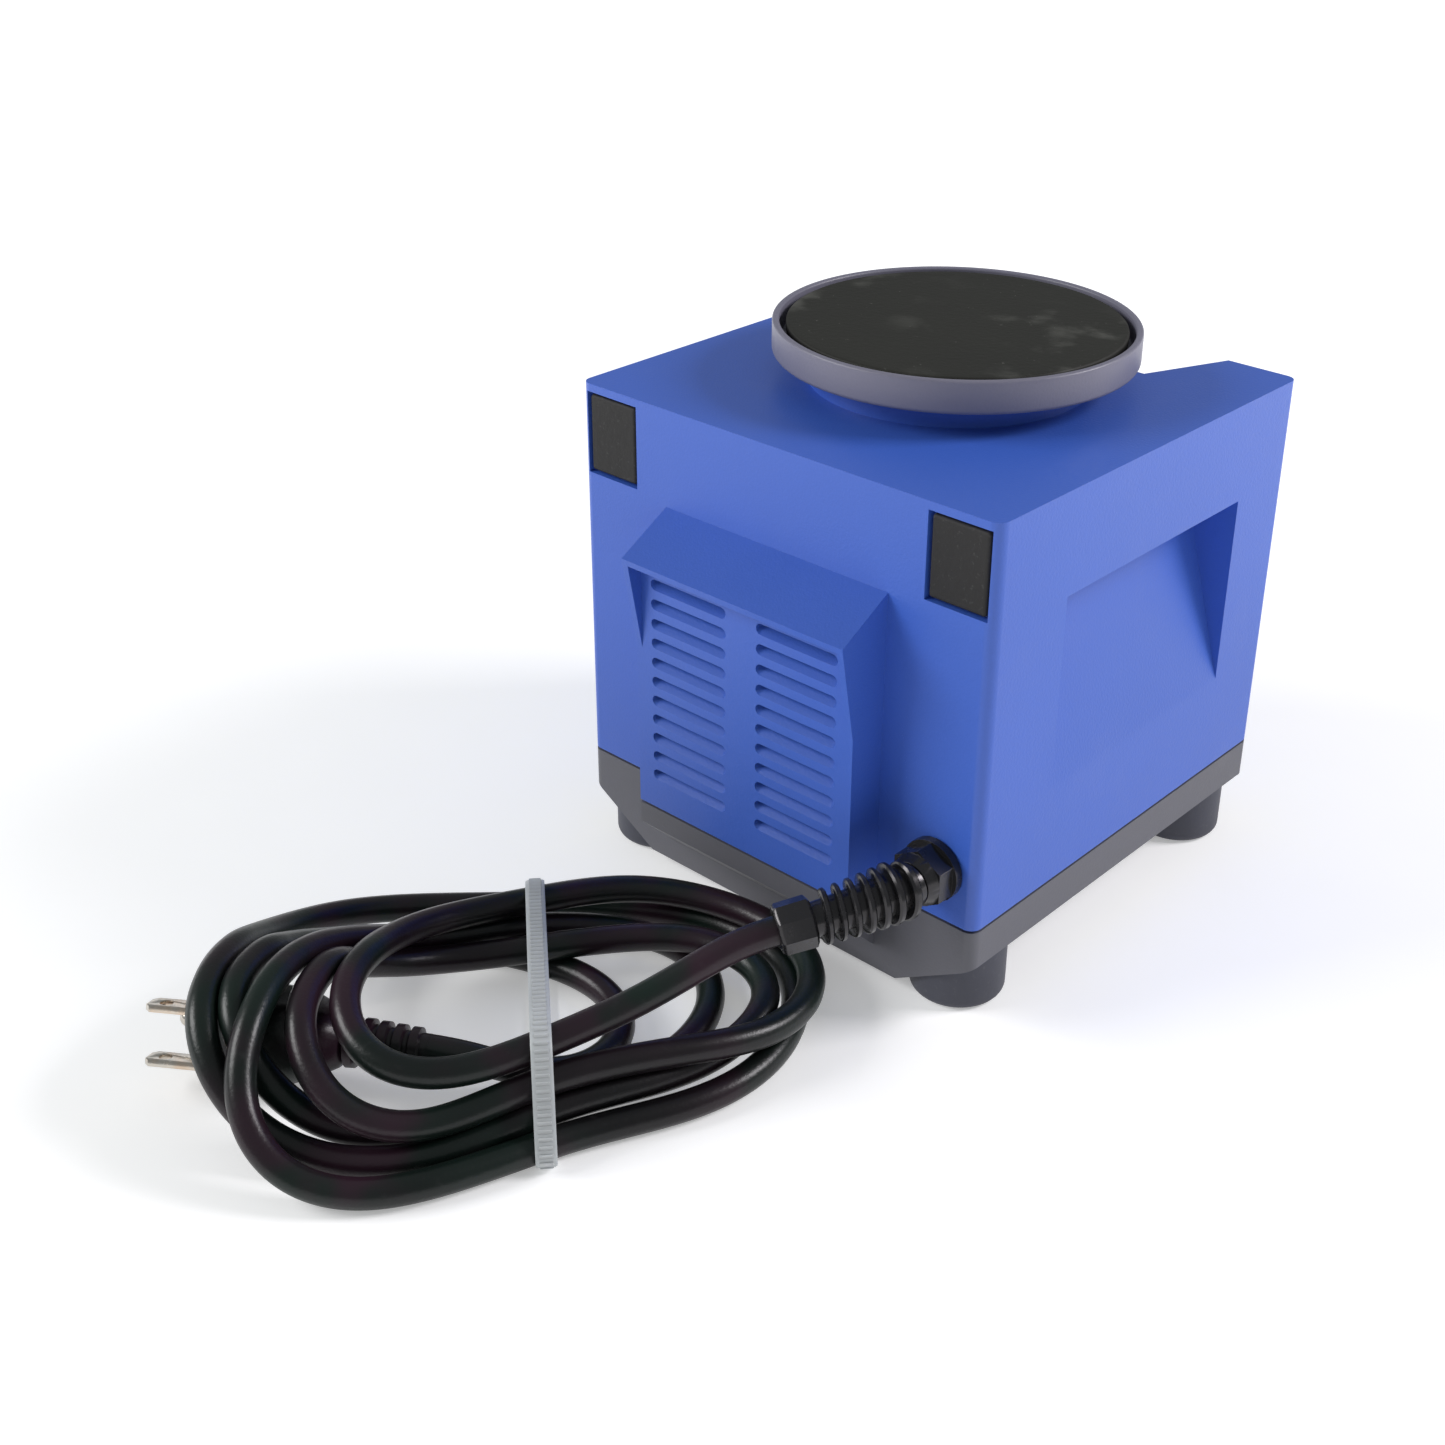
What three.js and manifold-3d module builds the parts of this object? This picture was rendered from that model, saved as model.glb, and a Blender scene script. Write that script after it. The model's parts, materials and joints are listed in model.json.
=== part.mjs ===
// Laboratory vortex mixer: a small bench shaker with a round rubber-topped dish that orbits.
// Millimetres, +Z up, the front (controls) towards -Y and the vent cowl towards +Y.
// The origin is on the bench, under the middle of the machine from its front to its vent cowl.
import * as THREE from 'three';
import { mergeVertices } from 'three/addons/utils/BufferGeometryUtils.js';
import Module from 'manifold-3d';

const wasm = await Module();
wasm.setup();

// ---------------------------------------------------------------- driving dimensions
const GAP = 0.3; // between pieces that touch
const WALL = 3; // moulded walls of the housing and tray
const PLATE = 2; // thin plates and panels

// Overall size of the casing
const HOUSING_WIDTH = 130;
const HOUSING_DEPTH = 128;
const HOUSING_HEIGHT = 105.3;
const CORNER_RADIUS = 3;
const SEAM_Z = 27.5; // parting line between housing and tray, above the bench
const SEAM_GAP = 0.7;

// Base tray: a thin band all round and a deeper belly
const BAND_HEIGHT = 10.4;
const BELLY_HALF_WIDTH = 42.5;
const BELLY_CLEARANCE = 3.3; // belly above the bench
const STEP_DEPTH = 6; // upright face of the step below the vent cowl
const STEP_FOOT_Z = 10.1; // where the step's sloping underside meets the rear face

// Feet
const FOOT_RADIUS = 12;
const FOOT_INSET_X = 12.9; // foot axis from the side of the casing
const FOOT_INSET_Y = 12.9; // foot axis from the front and rear of the casing
const FOOT_EDGE = 2.5; // rounded lower edge
const FOOT_FIT = 0.4; // foot in its well
const FOOT_SEAT = 0.6; // top of the well above the band's lower edge
const FOOT_SCREW_RADIUS = 2;
const FOOT_SCREW_HEAD_RADIUS = 4;
const FOOT_SCREW_HEAD_HEIGHT = 2.4;

// Vent cowl on the rear face
const COWL_WIDTH = 70.7;
const COWL_DEPTH = 15.7; // roof lip from the rear face
const COWL_PANEL_DEPTH = 10.9; // louvre panel from the rear face
const COWL_ROOT_Z = 79.7; // heights above the parting line
const COWL_LIP_Z = 70.9;
const COWL_BEND_Z = 45.4;
const COWL_SKIN = 1.8;
const LOUVRE_DEPTH = 4.5; // fins between the slots, from the panel's face inwards
const LOUVRE_SLOPE = 35; // degrees, the fins rise inwards
const LOUVRE_MARGIN = 2; // solid round the slots
const SLOT_ROWS = 11;
const SLOT_PITCH = 5.42;
const SLOT_HEIGHT = 3;
const SLOT_LENGTH = 25.3;
const SLOT_INNER_X = 4.9; // from the middle of the panel to a slot's inner end
const SLOT_FIRST_Z = 10; // middle of the lowest slot above the parting line

// Grip recess in each side
const GRIP_DEPTH = 15;
const GRIP_FRONT_Y = -40.2; // from the middle of the casing
const GRIP_REAR_Y = 35.8;
const GRIP_TOP_Z = 78.6; // above the parting line
const GRIP_BOTTOM_Z = 27.6;

// Rubber pads on the rear face
const PAD_WIDTH = 17.4;
const PAD_HEIGHT = 21.8;
const PAD_SIDE_INSET = 2.1; // pocket from the side of the casing
const PAD_TOP_INSET = 2.1; // pocket from the top of the casing
const PAD_POCKET_DEPTH = 2.5;
const PAD_FIT = 0.7; // pad in its pocket
const PAD_SINK = 0.3; // pad below the rear face

// Control bay in the upper front edge
const BAY_REAR_Y = 24.5; // back edge of the bay from the front face
const BAY_REAR_HALF_WIDTH = 34.5;
const BAY_FRONT_HALF_WIDTH = 44.8;
const BAY_FOOT_Z = 40; // floor of the bay above the parting line
const BAY_FOOT_Y = 6.5; // foot of the sloping panel from the front face
const PANEL_MARGIN = 3; // control panel from the edges of the bay's slope
const KNOB_RADIUS = 12;
const KNOB_HEIGHT = 9;
const KNOB_LIFT = 1; // knob above the panel
const KNOB_X = 15; // knob axis from the middle
const SWITCH_X = -18;
const SWITCH_WIDTH = 13;
const SWITCH_HEIGHT = 20;
const ROCKER_TILT = 8; // degrees, rocker at rest
const LENS_RADIUS = 2.2;
const KNOB_SHAFT_RADIUS = 3;
const POT_RADIUS = 8;
const POT_HEIGHT = 9;

// Dish and its drive
const DISH_RADIUS = 46.5;
const DISH_HEIGHT = 8.5;
const DISH_LIFT = 6.4; // dish above the top of the casing
const DISH_WALL = 1.8;
const DISH_FLOOR = 2.6;
const DISH_OFFSET_Y = -4.6; // dish axis from the middle of the casing
const MAT_RADIUS = 43;
const MAT_SINK = 0.4; // mat below the rim
const ORBIT_RADIUS = 2.25; // eccentricity of the drive pin
const BOSS_RADIUS = 36;
const BOSS_HEIGHT = 4.5;
const CARRIER_RADIUS = 14;
const SWAY_ROOM = 1; // beyond the orbit, round the carrier
const BELLOWS_WALL = 2.6;
const SHAFT_RADIUS = 4;
const RUNNING_GAP = 0.2;
const BEARING_RADIUS = 11;
const BEARING_WIDTH = 7;
const BEARING_SEAT = 3; // wall round a bearing
const MOTOR_RADIUS = 28;
const MOTOR_HEIGHT = 48;
const AIR_GAP = 0.8; // rotor to stator
const ROTOR_RADIUS = 18;
const STATOR_FIT = 0.7; // stator in the motor can
const FAN_RADIUS = 26;
const FAN_HEIGHT = 8;
const FAN_BLADES = 7;
const HUB_RADIUS = 12;
const HUB_HEIGHT = 9;
const WEIGHT_RADIUS = 24;
const MOTOR_PLATE_Z = 97; // underside of the motor plate above the bench
const MOTOR_PLATE_WIDTH = 88;
const MOTOR_PLATE_DEPTH = 58;
const MOTOR_PLATE_THICK = 4;
const POST_RADIUS = 4;
const POST_INSET = 9; // post axis from the plate's edges

// Inside the tray
const BALLAST_WIDTH = 76;
const BALLAST_DEPTH = 84;
const BALLAST_HEIGHT = 14;
const BOARD_WIDTH = 58;
const BOARD_HEIGHT = 44;
const SCREW_RADIUS = 2;
const SCREW_HEAD_RADIUS = 3.6;
const SCREW_HEAD_HEIGHT = 2.4;
const SCREW_INSET = 9; // casing screws from the sides of the casing
const SCREW_Y = 30; // casing screws from the middle of the casing

// Mains lead
const CORD_DIAMETER = 7;
const GLAND_X = -53.1;
const GLAND_Z = 13.8; // above the parting line
const GLAND_RADIUS = 8;
const GLAND_LENGTH = 10;
const GLAND_THREAD_RADIUS = 6;
const GLAND_FLANGE = 2.2;
const GLAND_DOME = 2.6;
const JOIN = 0.1; // how far joined shapes run into each other
const LOCKNUT_RADIUS = 9;
const LOCKNUT_THICK = 4;
const BOOT_RADIUS = 7.6; // at the gland
const BOOT_END_RADIUS = 6.1;
const BOOT_COLLAR_LENGTH = 8.5;
const BOOT_STRAIGHT = 8; // before the boot bends
const BOOT_RIBS = 7;
const RIB_DEPTH = 1.6;
const HANK_LENGTH = 156; // outer size of the folded lead
const HANK_WIDTH = 98;
const HANK_HEIGHT = 24;
const SADDLE_HEIGHT = 31; // where the strands ride over the plug
const SADDLE_ALONG = 18; // start of the saddle from the middle of the hank
const HANK_OPEN_LENGTH = 90; // open middle of the hank
const HANK_OPEN_WIDTH = 28;
const HANK_X = 14.4;
const HANK_Y = 135;
const HANK_TURN = 49.5; // degrees, long axis from +X
const TIE_WIDTH = 4.8;
const TIE_THICK = 1.2;
const TIE_ALONG = -12; // tie from the middle of the hank
const PLUG_X = 51.6; // middle of the plug's front face
const PLUG_Y = 185;
const PLUG_TURN = 34.5; // degrees, blades from +X
const PLUG_ROLL = 110; // degrees, how the plug lies about its own length
const PLUG_WIDTH = 20;
const PLUG_THICK = 24;
const PLUG_CORNER = 6;
const PLUG_LENGTH = 29;
const PLUG_TAIL_RADIUS = 6;
const PLUG_TAIL_LENGTH = 19.5;
const BLADE_LENGTH = 15.9;
const BLADE_WIDTH = 6.35;
const BLADE_THICK = 1.5;
const BLADE_SPACING = 12.7;
const BLADE_OFFSET = -6; // line of the blades from the plug's middle
const BLADE_ROOT = 8; // hidden length inside the plug
const GROUND_RADIUS = 2.4;
const GROUND_OFFSET = 11.9; // ground pin from the line of the blades
const GROUND_LENGTH = 13.5;

// ---------------------------------------------------------------- derived places
const HOUSING_Y = -COWL_DEPTH / 2; // middle of the casing
const FRONT_Y = HOUSING_Y - HOUSING_DEPTH / 2;
const REAR_Y = HOUSING_Y + HOUSING_DEPTH / 2;
const HALF_WIDTH = HOUSING_WIDTH / 2;
const TOP_Z = SEAM_Z + HOUSING_HEIGHT;
const TRAY_TOP_Z = SEAM_Z - SEAM_GAP;
const BAND_Z = TRAY_TOP_Z - BAND_HEIGHT;
const TRAY_FLOOR_Z = BELLY_CLEARANCE + WALL;
const DISH_Y = HOUSING_Y + DISH_OFFSET_Y;
const DISH_Z = TOP_Z + DISH_LIFT;
const DISH_FLOOR_TOP = DISH_Z + DISH_FLOOR;
const DRIVE_Y = DISH_Y + ORBIT_RADIUS; // the eccentric pin stands in front of the drive axis at rest
const CARRIER_HOLE = CARRIER_RADIUS + ORBIT_RADIUS + SWAY_ROOM + BELLOWS_WALL + GAP;
const PLATE_TOP_Z = MOTOR_PLATE_Z + MOTOR_PLATE_THICK;
const MOTOR_FOOT_Z = MOTOR_PLATE_Z - MOTOR_HEIGHT;
const HUB_Z = PLATE_TOP_Z + 2;
const PIN_Z = HUB_Z + HUB_HEIGHT;
const CARRIER_Z = PIN_Z + 1.5;
const FAN_Z = MOTOR_FOOT_Z - 3 - FAN_HEIGHT;
const slopeRise = HOUSING_HEIGHT - BAY_FOOT_Z;
const slopeRun = BAY_REAR_Y - BAY_FOOT_Y;
const slopeLength = Math.hypot(slopeRise, slopeRun);
const slopeAngle = Math.atan2(slopeRise, slopeRun); // from level

// ---------------------------------------------------------------- finishes
const finish = (color, roughness, metalness = 0) =>
  new THREE.MeshStandardMaterial({ color, roughness, metalness });
const BLUE = finish(0x3c5fc4, 0.42);
const GREY = finish(0x62626a, 0.55);
const RUBBER = finish(0x2b2a2a, 0.85);
const FOOT_RUBBER = finish(0x5a5a66, 0.75);
const RIM_GREY = finish(0x8c8c9c, 0.5);
const BLACK = finish(0x0b0b0c, 0.3);
const CORD_BLACK = finish(0x101012, 0.45);
const STEEL = finish(0xa8abb0, 0.35, 0.9);
const IRON = finish(0x4a4a4c, 0.8, 0.4);
const COPPER = finish(0xb06a3c, 0.45, 0.8);
const BRASS = finish(0xc9a86a, 0.3, 0.9);
const ALUMINIUM = finish(0xc4c6ca, 0.45, 0.8);
const BOARD_GREEN = finish(0x2f6b46, 0.6);
const NYLON = finish(0xd8dcdc, 0.5);
const LENS_GREEN = finish(0x58c070, 0.2);

// ---------------------------------------------------------------- helpers
const part = new THREE.Group();

function add(name, geometry, material) {
  const mesh = new THREE.Mesh(geometry, material);
  mesh.name = name;
  part.add(mesh);
  return mesh;
}

// A closed three.js geometry as a solid for joining and cutting
function solid(geometry) {
  const bare = geometry.index ? geometry.toNonIndexed() : geometry.clone();
  bare.deleteAttribute('normal');
  bare.deleteAttribute('uv');
  const merged = mergeVertices(bare, 1e-4);
  return new wasm.Manifold(new wasm.Mesh({
    numProp: 3,
    vertProperties: new Float32Array(merged.attributes.position.array),
    triVerts: new Uint32Array(merged.index.array),
  }));
}

function geometryOf(manifold) {
  const { vertProperties, triVerts } = manifold.getMesh();
  const geometry = new THREE.BufferGeometry();
  geometry.setAttribute('position', new THREE.BufferAttribute(new Float32Array(vertProperties), 3));
  geometry.setIndex(new THREE.BufferAttribute(new Uint32Array(triVerts), 1));
  return geometry;
}

const cut = (body, ...tools) => tools.reduce((left, tool) => left.subtract(tool), body);
const join = (body, ...more) => more.reduce((all, one) => all.add(one), body);

// A box from its lowest to its highest corner
function box(x0, y0, z0, x1, y1, z1) {
  return new THREE.BoxGeometry(x1 - x0, y1 - y0, z1 - z0)
    .translate((x0 + x1) / 2, (y0 + y1) / 2, (z0 + z1) / 2);
}

// An upright cylinder, or a cone when the second radius is given
function cylinder(x, y, z0, z1, radius, segments = 28, topRadius = radius) {
  return new THREE.CylinderGeometry(topRadius, radius, z1 - z0, segments)
    .rotateX(Math.PI / 2)
    .translate(x, y, (z0 + z1) / 2);
}

// An upright turned piece from [radius, z] points; the outline closes on itself or on the axis
function turned(x, y, outline, segments = 28) {
  const points = outline.map(([radius, z]) => new THREE.Vector2(radius, z));
  if (outline[0][0] > 0) points.push(points[0].clone());
  return new THREE.LatheGeometry(points, segments).rotateX(Math.PI / 2).translate(x, y, 0);
}

function ring(x, y, z0, z1, inner, outer, segments = 28) {
  return turned(x, y, [[inner, z0], [outer, z0], [outer, z1], [inner, z1]], segments);
}

// A flat outline of [x, y] points
function outlineOf(points) {
  return new THREE.Shape(points.map(([x, y]) => new THREE.Vector2(x, y)));
}

function roundedRectangle(halfX, halfY, radius) {
  const shape = new THREE.Shape();
  shape.moveTo(-halfX + radius, -halfY);
  shape.lineTo(halfX - radius, -halfY);
  shape.absarc(halfX - radius, -halfY + radius, radius, -Math.PI / 2, 0);
  shape.lineTo(halfX, halfY - radius);
  shape.absarc(halfX - radius, halfY - radius, radius, 0, Math.PI / 2);
  shape.lineTo(-halfX + radius, halfY);
  shape.absarc(-halfX + radius, halfY - radius, radius, Math.PI / 2, Math.PI);
  shape.lineTo(-halfX, -halfY + radius);
  shape.absarc(-halfX + radius, -halfY + radius, radius, Math.PI, Math.PI * 1.5);
  return shape;
}

function extrude(shape, length, curveSegments = 4) {
  return new THREE.ExtrudeGeometry(shape, { depth: length, bevelEnabled: false, curveSegments });
}

// A [y, z] outline drawn out along X from x0 to x1
function alongX(points, x0, x1) {
  return shapeAlongX(outlineOf(points), x0, x1);
}

function shapeAlongX(shape, x0, x1, steps) {
  return extrude(shape, x1 - x0, steps)
    .applyMatrix4(new THREE.Matrix4().set(0, 0, 1, x0, 1, 0, 0, 0, 0, 1, 0, 0, 0, 0, 0, 1));
}

// An [x, z] outline drawn out along Y from y0 to y1
function alongY(points, y0, y1) {
  return extrude(outlineOf(points), y1 - y0)
    .applyMatrix4(new THREE.Matrix4().set(1, 0, 0, 0, 0, 0, -1, y1, 0, 1, 0, 0, 0, 0, 0, 1));
}

// The casing's rounded plan, smaller by inset all round, from z0 to z1
function casingBlock(z0, z1, inset = 0) {
  const shape = roundedRectangle(
    HALF_WIDTH - inset, HOUSING_DEPTH / 2 - inset, Math.max(CORNER_RADIUS - inset, 0.5));
  return extrude(shape, z1 - z0).translate(0, HOUSING_Y, z0);
}

const corners = (x, y) => [[-x, -y], [x, -y], [-x, y], [x, y]];

// ---------------------------------------------------------------- housing
// The tapering hollow of a side grip, grown outwards by skin
function gripHollow(side, skin = 0) {
  const outer = side * (HALF_WIDTH + (skin ? 0 : 1));
  const inner = side * (HALF_WIDTH - GRIP_DEPTH - skin);
  const top = SEAM_Z + GRIP_TOP_Z + skin;
  const foot = SEAM_Z + GRIP_BOTTOM_Z - skin;
  const flush = side * (HALF_WIDTH - skin * 0.4);
  const outline = [[outer, foot], [flush, foot], [inner, top], [outer, top]];
  return solid(alongY(side > 0 ? outline : outline.reverse(),
    HOUSING_Y + GRIP_FRONT_Y - skin, HOUSING_Y + GRIP_REAR_Y + skin));
}

// The control bay: a sloping panel seat seen from the side, splayed towards the front in plan
function bayHollow(skin = 0) {
  const reach = skin ? 0 : 2;
  const footZ = SEAM_Z + BAY_FOOT_Z - skin;
  const side = alongX([
    [FRONT_Y - reach, footZ],
    [FRONT_Y + BAY_FOOT_Y + skin, footZ],
    [FRONT_Y + BAY_REAR_Y + skin + reach * slopeRun / slopeRise, TOP_Z + reach],
    [FRONT_Y - reach, TOP_Z + reach],
  ], -HALF_WIDTH, HALF_WIDTH);
  const splay = (BAY_FRONT_HALF_WIDTH - BAY_REAR_HALF_WIDTH) / BAY_REAR_Y;
  const rear = BAY_REAR_Y + WALL + reach;
  const halfFront = BAY_FRONT_HALF_WIDTH + splay * reach + skin;
  const halfRear = BAY_FRONT_HALF_WIDTH - splay * rear + skin;
  const plan = extrude(outlineOf([
    [-halfFront, FRONT_Y - reach], [halfFront, FRONT_Y - reach],
    [halfRear, FRONT_Y + rear], [-halfRear, FRONT_Y + rear],
  ]), HOUSING_HEIGHT + reach).translate(0, 0, SEAM_Z);
  return solid(side).intersect(solid(plan));
}

function padPlace(side) {
  const x = side * (HALF_WIDTH - PAD_SIDE_INSET - PAD_WIDTH / 2);
  return { x, top: TOP_Z - PAD_TOP_INSET };
}

function padPocket(side, skin = 0) {
  const { x, top } = padPlace(side);
  const half = PAD_WIDTH / 2 + skin;
  return solid(box(x - half, REAR_Y - PAD_POCKET_DEPTH - skin, top - PAD_HEIGHT - skin,
    x + half, REAR_Y + (skin ? -WALL / 2 : 1), top + (skin ? skin / 2 : 0)));
}

const roofSlope = (COWL_ROOT_Z - COWL_LIP_Z) / COWL_DEPTH;

function cowlOutside() {
  return solid(alongX([
    [REAR_Y - WALL / 2, SEAM_Z],
    [REAR_Y + COWL_PANEL_DEPTH, SEAM_Z],
    [REAR_Y + COWL_PANEL_DEPTH, SEAM_Z + COWL_BEND_Z],
    [REAR_Y + COWL_DEPTH, SEAM_Z + COWL_LIP_Z],
    [REAR_Y, SEAM_Z + COWL_ROOT_Z],
    [REAR_Y - WALL / 2, SEAM_Z + COWL_ROOT_Z],
  ], -COWL_WIDTH / 2, COWL_WIDTH / 2));
}

// The open mouth under the cowl's roof, between its cheeks and in front of the louvres
function cowlMouth() {
  const half = COWL_WIDTH / 2 - COWL_SKIN;
  const under = SEAM_Z + COWL_LIP_Z - COWL_SKIN;
  return solid(alongX([
    [REAR_Y + COWL_PANEL_DEPTH, SEAM_Z + COWL_BEND_Z],
    [REAR_Y + COWL_DEPTH + 1, SEAM_Z + COWL_BEND_Z],
    [REAR_Y + COWL_DEPTH + 1, under - roofSlope],
    [REAR_Y + COWL_PANEL_DEPTH, under + roofSlope * (COWL_DEPTH - COWL_PANEL_DEPTH)],
  ], -half, half));
}

// The air way behind the louvres, open to the inside of the housing and at the bottom
function cowlInside() {
  const half = COWL_WIDTH / 2 - COWL_SKIN;
  const panelBack = COWL_PANEL_DEPTH - COWL_SKIN;
  const roofAt = (depth) => SEAM_Z + COWL_ROOT_Z - roofSlope * depth - COWL_SKIN * 1.3;
  return solid(alongX([
    [REAR_Y - WALL - 1, SEAM_Z - 1],
    [REAR_Y + panelBack, SEAM_Z - 1],
    [REAR_Y + panelBack, roofAt(panelBack)],
    [REAR_Y - WALL - 1, roofAt(-WALL - 1)],
  ], -half, half));
}

// The block behind one column of slots that leaves a deep fin between each two of them
const louvreRise = Math.tan(THREE.MathUtils.degToRad(LOUVRE_SLOPE));

function louvreBlock(side) {
  const inner = side * (SLOT_INNER_X - LOUVRE_MARGIN);
  const outer = side * (SLOT_INNER_X + SLOT_LENGTH + LOUVRE_MARGIN);
  const face = REAR_Y + COWL_PANEL_DEPTH;
  const low = SEAM_Z + SLOT_FIRST_Z - SLOT_HEIGHT / 2 - LOUVRE_MARGIN;
  const high = low + (SLOT_ROWS - 1) * SLOT_PITCH + SLOT_HEIGHT + LOUVRE_MARGIN * 2
    + LOUVRE_DEPTH * louvreRise;
  return solid(box(Math.min(inner, outer), face - LOUVRE_DEPTH, low,
    Math.max(inner, outer), face - COWL_SKIN / 2, high));
}

// One vent slot with round ends, cut through the louvre panel and between its sloping fins
function ventSlot(side, row) {
  const radius = SLOT_HEIGHT / 2;
  const middle = side * (SLOT_INNER_X + SLOT_LENGTH / 2);
  const reach = SLOT_LENGTH / 2 - radius;
  const shape = new THREE.Shape();
  shape.moveTo(-reach, -radius);
  shape.absarc(reach, 0, radius, -Math.PI / 2, Math.PI / 2);
  shape.absarc(-reach, 0, radius, Math.PI / 2, Math.PI * 1.5);
  const slope = new THREE.Matrix4().set(
    1, 0, 0, 0,
    0, 1, 0, 0,
    0, -louvreRise, 1, 0,
    0, 0, 0, 1);
  return solid(extrude(shape, LOUVRE_DEPTH + COWL_SKIN * 2, 3)
    .rotateX(Math.PI / 2)
    .translate(0, COWL_SKIN, 0)
    .applyMatrix4(slope)
    .translate(middle, REAR_Y + COWL_PANEL_DEPTH, SEAM_Z + SLOT_FIRST_Z + row * SLOT_PITCH));
}

function housing() {
  const top = TOP_Z - WALL;
  let shell = cut(solid(casingBlock(SEAM_Z, TOP_Z)), solid(casingBlock(SEAM_Z - 1, top, WALL)));
  const outside = solid(casingBlock(SEAM_Z, TOP_Z));
  const linings = [bayHollow(WALL)];
  for (const side of [-1, 1]) linings.push(gripHollow(side, WALL), padPocket(side, WALL));
  for (const lining of linings) shell = shell.add(lining.intersect(outside));
  shell = shell.add(solid(cylinder(0, DRIVE_Y, top, TOP_Z + BOSS_HEIGHT, BOSS_RADIUS, 48)));
  shell = shell.add(cowlOutside());
  for (const [x, y] of corners(HALF_WIDTH - SCREW_INSET, SCREW_Y)) {
    shell = shell.add(screwPillar(x, HOUSING_Y + y));
  }
  shell = cut(shell, bayHollow(), cowlMouth(), cowlInside(),
    solid(cylinder(0, DRIVE_Y, top - 1, TOP_Z + BOSS_HEIGHT + 1, CARRIER_HOLE, 32)));
  for (const side of [-1, 1]) {
    shell = cut(shell, gripHollow(side), padPocket(side)).add(louvreBlock(side));
    for (let row = 0; row < SLOT_ROWS; row += 1) shell = shell.subtract(ventSlot(side, row));
  }
  shell = cut(shell,
    solid(laid(cylinder(0, 0, -WALL * 2, 1, KNOB_SHAFT_RADIUS + GAP, 24), KNOB_X, CONTROLS_UP)),
    solid(laid(box(-SWITCH_WIDTH / 2 + 1, -SWITCH_HEIGHT / 2 + 1, -WALL * 2,
      SWITCH_WIDTH / 2 - 1, SWITCH_HEIGHT / 2 - 1, 1), SWITCH_X, CONTROLS_UP)));
  const gland = new THREE.CylinderGeometry(
    GLAND_THREAD_RADIUS + GAP, GLAND_THREAD_RADIUS + GAP, WALL + 2, 32);
  shell = shell.subtract(solid(gland.translate(GLAND_X, REAR_Y - WALL / 2, SEAM_Z + GLAND_Z)));
  for (const [x, y] of corners(HALF_WIDTH - SCREW_INSET, SCREW_Y)) {
    shell = shell.subtract(solid(
      cylinder(x, HOUSING_Y + y, SEAM_Z - 1, SEAM_Z + 11, SCREW_RADIUS + GAP, 12)));
  }
  add('housing', geometryOf(shell), BLUE);
}

// A post that a casing screw bites into, on a rib to the side wall
function screwPillar(x, y) {
  const radius = SCREW_RADIUS + WALL;
  const wallX = Math.sign(x) * (HALF_WIDTH - WALL / 2);
  return join(
    solid(cylinder(x, y, SEAM_Z, SEAM_Z + 14, radius, 16)),
    solid(box(Math.min(x, wallX), y - 1.5, SEAM_Z, Math.max(x, wallX), y + 1.5, SEAM_Z + 14)));
}

// ---------------------------------------------------------------- base tray and feet
function trayOutline(inset) {
  const half = HALF_WIDTH - inset;
  const top = TRAY_TOP_Z + (inset ? 1 : 0);
  const belly = BELLY_HALF_WIDTH - inset * 0.7;
  return [[-half, top], [-half, BAND_Z + inset], [-belly, BELLY_CLEARANCE + inset],
    [belly, BELLY_CLEARANCE + inset], [half, BAND_Z + inset], [half, top]];
}

const footPlaces = () =>
  corners(HALF_WIDTH - FOOT_INSET_X, HOUSING_DEPTH / 2 - FOOT_INSET_Y)
    .map(([x, y]) => [x, HOUSING_Y + y]);
const wellTop = BAND_Z + FOOT_SEAT;
const footTop = wellTop - GAP;

function baseTray() {
  const plan = solid(casingBlock(0, TRAY_TOP_Z));
  const outer = solid(alongY(trayOutline(0), FRONT_Y - 1, REAR_Y + 1)).intersect(plan);
  const hollow = solid(alongY(trayOutline(WALL), FRONT_Y + WALL, REAR_Y - WALL));
  let tray = outer.subtract(hollow.intersect(solid(casingBlock(0, TRAY_TOP_Z + 1, WALL))));
  const half = COWL_WIDTH / 2;
  tray = tray.add(solid(alongX([
    [REAR_Y - WALL / 2, TRAY_TOP_Z], [REAR_Y - WALL / 2, STEP_FOOT_Z], [REAR_Y, STEP_FOOT_Z],
    [REAR_Y + COWL_PANEL_DEPTH, TRAY_TOP_Z - STEP_DEPTH],
    [REAR_Y + COWL_PANEL_DEPTH, TRAY_TOP_Z],
  ], -half, half)));
  for (const [x, y] of footPlaces()) {
    const boss = solid(cylinder(x, y, BELLY_CLEARANCE, wellTop + WALL, FOOT_RADIUS + WALL, 24));
    tray = tray.add(boss.intersect(outer));
  }
  for (const [x, y] of corners(HALF_WIDTH - SCREW_INSET, SCREW_Y)) {
    const pillar = solid(
      cylinder(x, HOUSING_Y + y, BELLY_CLEARANCE, TRAY_TOP_Z, SCREW_RADIUS + WALL, 16));
    tray = tray.add(pillar.intersect(outer));
  }
  for (const [x, y] of footPlaces()) {
    tray = cut(tray, solid(cylinder(x, y, -1, wellTop, FOOT_RADIUS + FOOT_FIT, 24)),
      solid(cylinder(x, y, -1, wellTop + WALL + 1, FOOT_SCREW_RADIUS + GAP, 12)));
  }
  for (const [x, y] of corners(HALF_WIDTH - SCREW_INSET, SCREW_Y)) {
    tray = cut(tray,
      solid(cylinder(x, HOUSING_Y + y, -1, SEAM_Z, SCREW_RADIUS + GAP, 12)),
      solid(cylinder(x, HOUSING_Y + y, -1, screwSeatZ, SCREW_HEAD_RADIUS + GAP, 16)));
  }
  add('base_tray', geometryOf(tray), GREY);
}

const screwSeatZ = BAND_Z + WALL;

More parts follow.
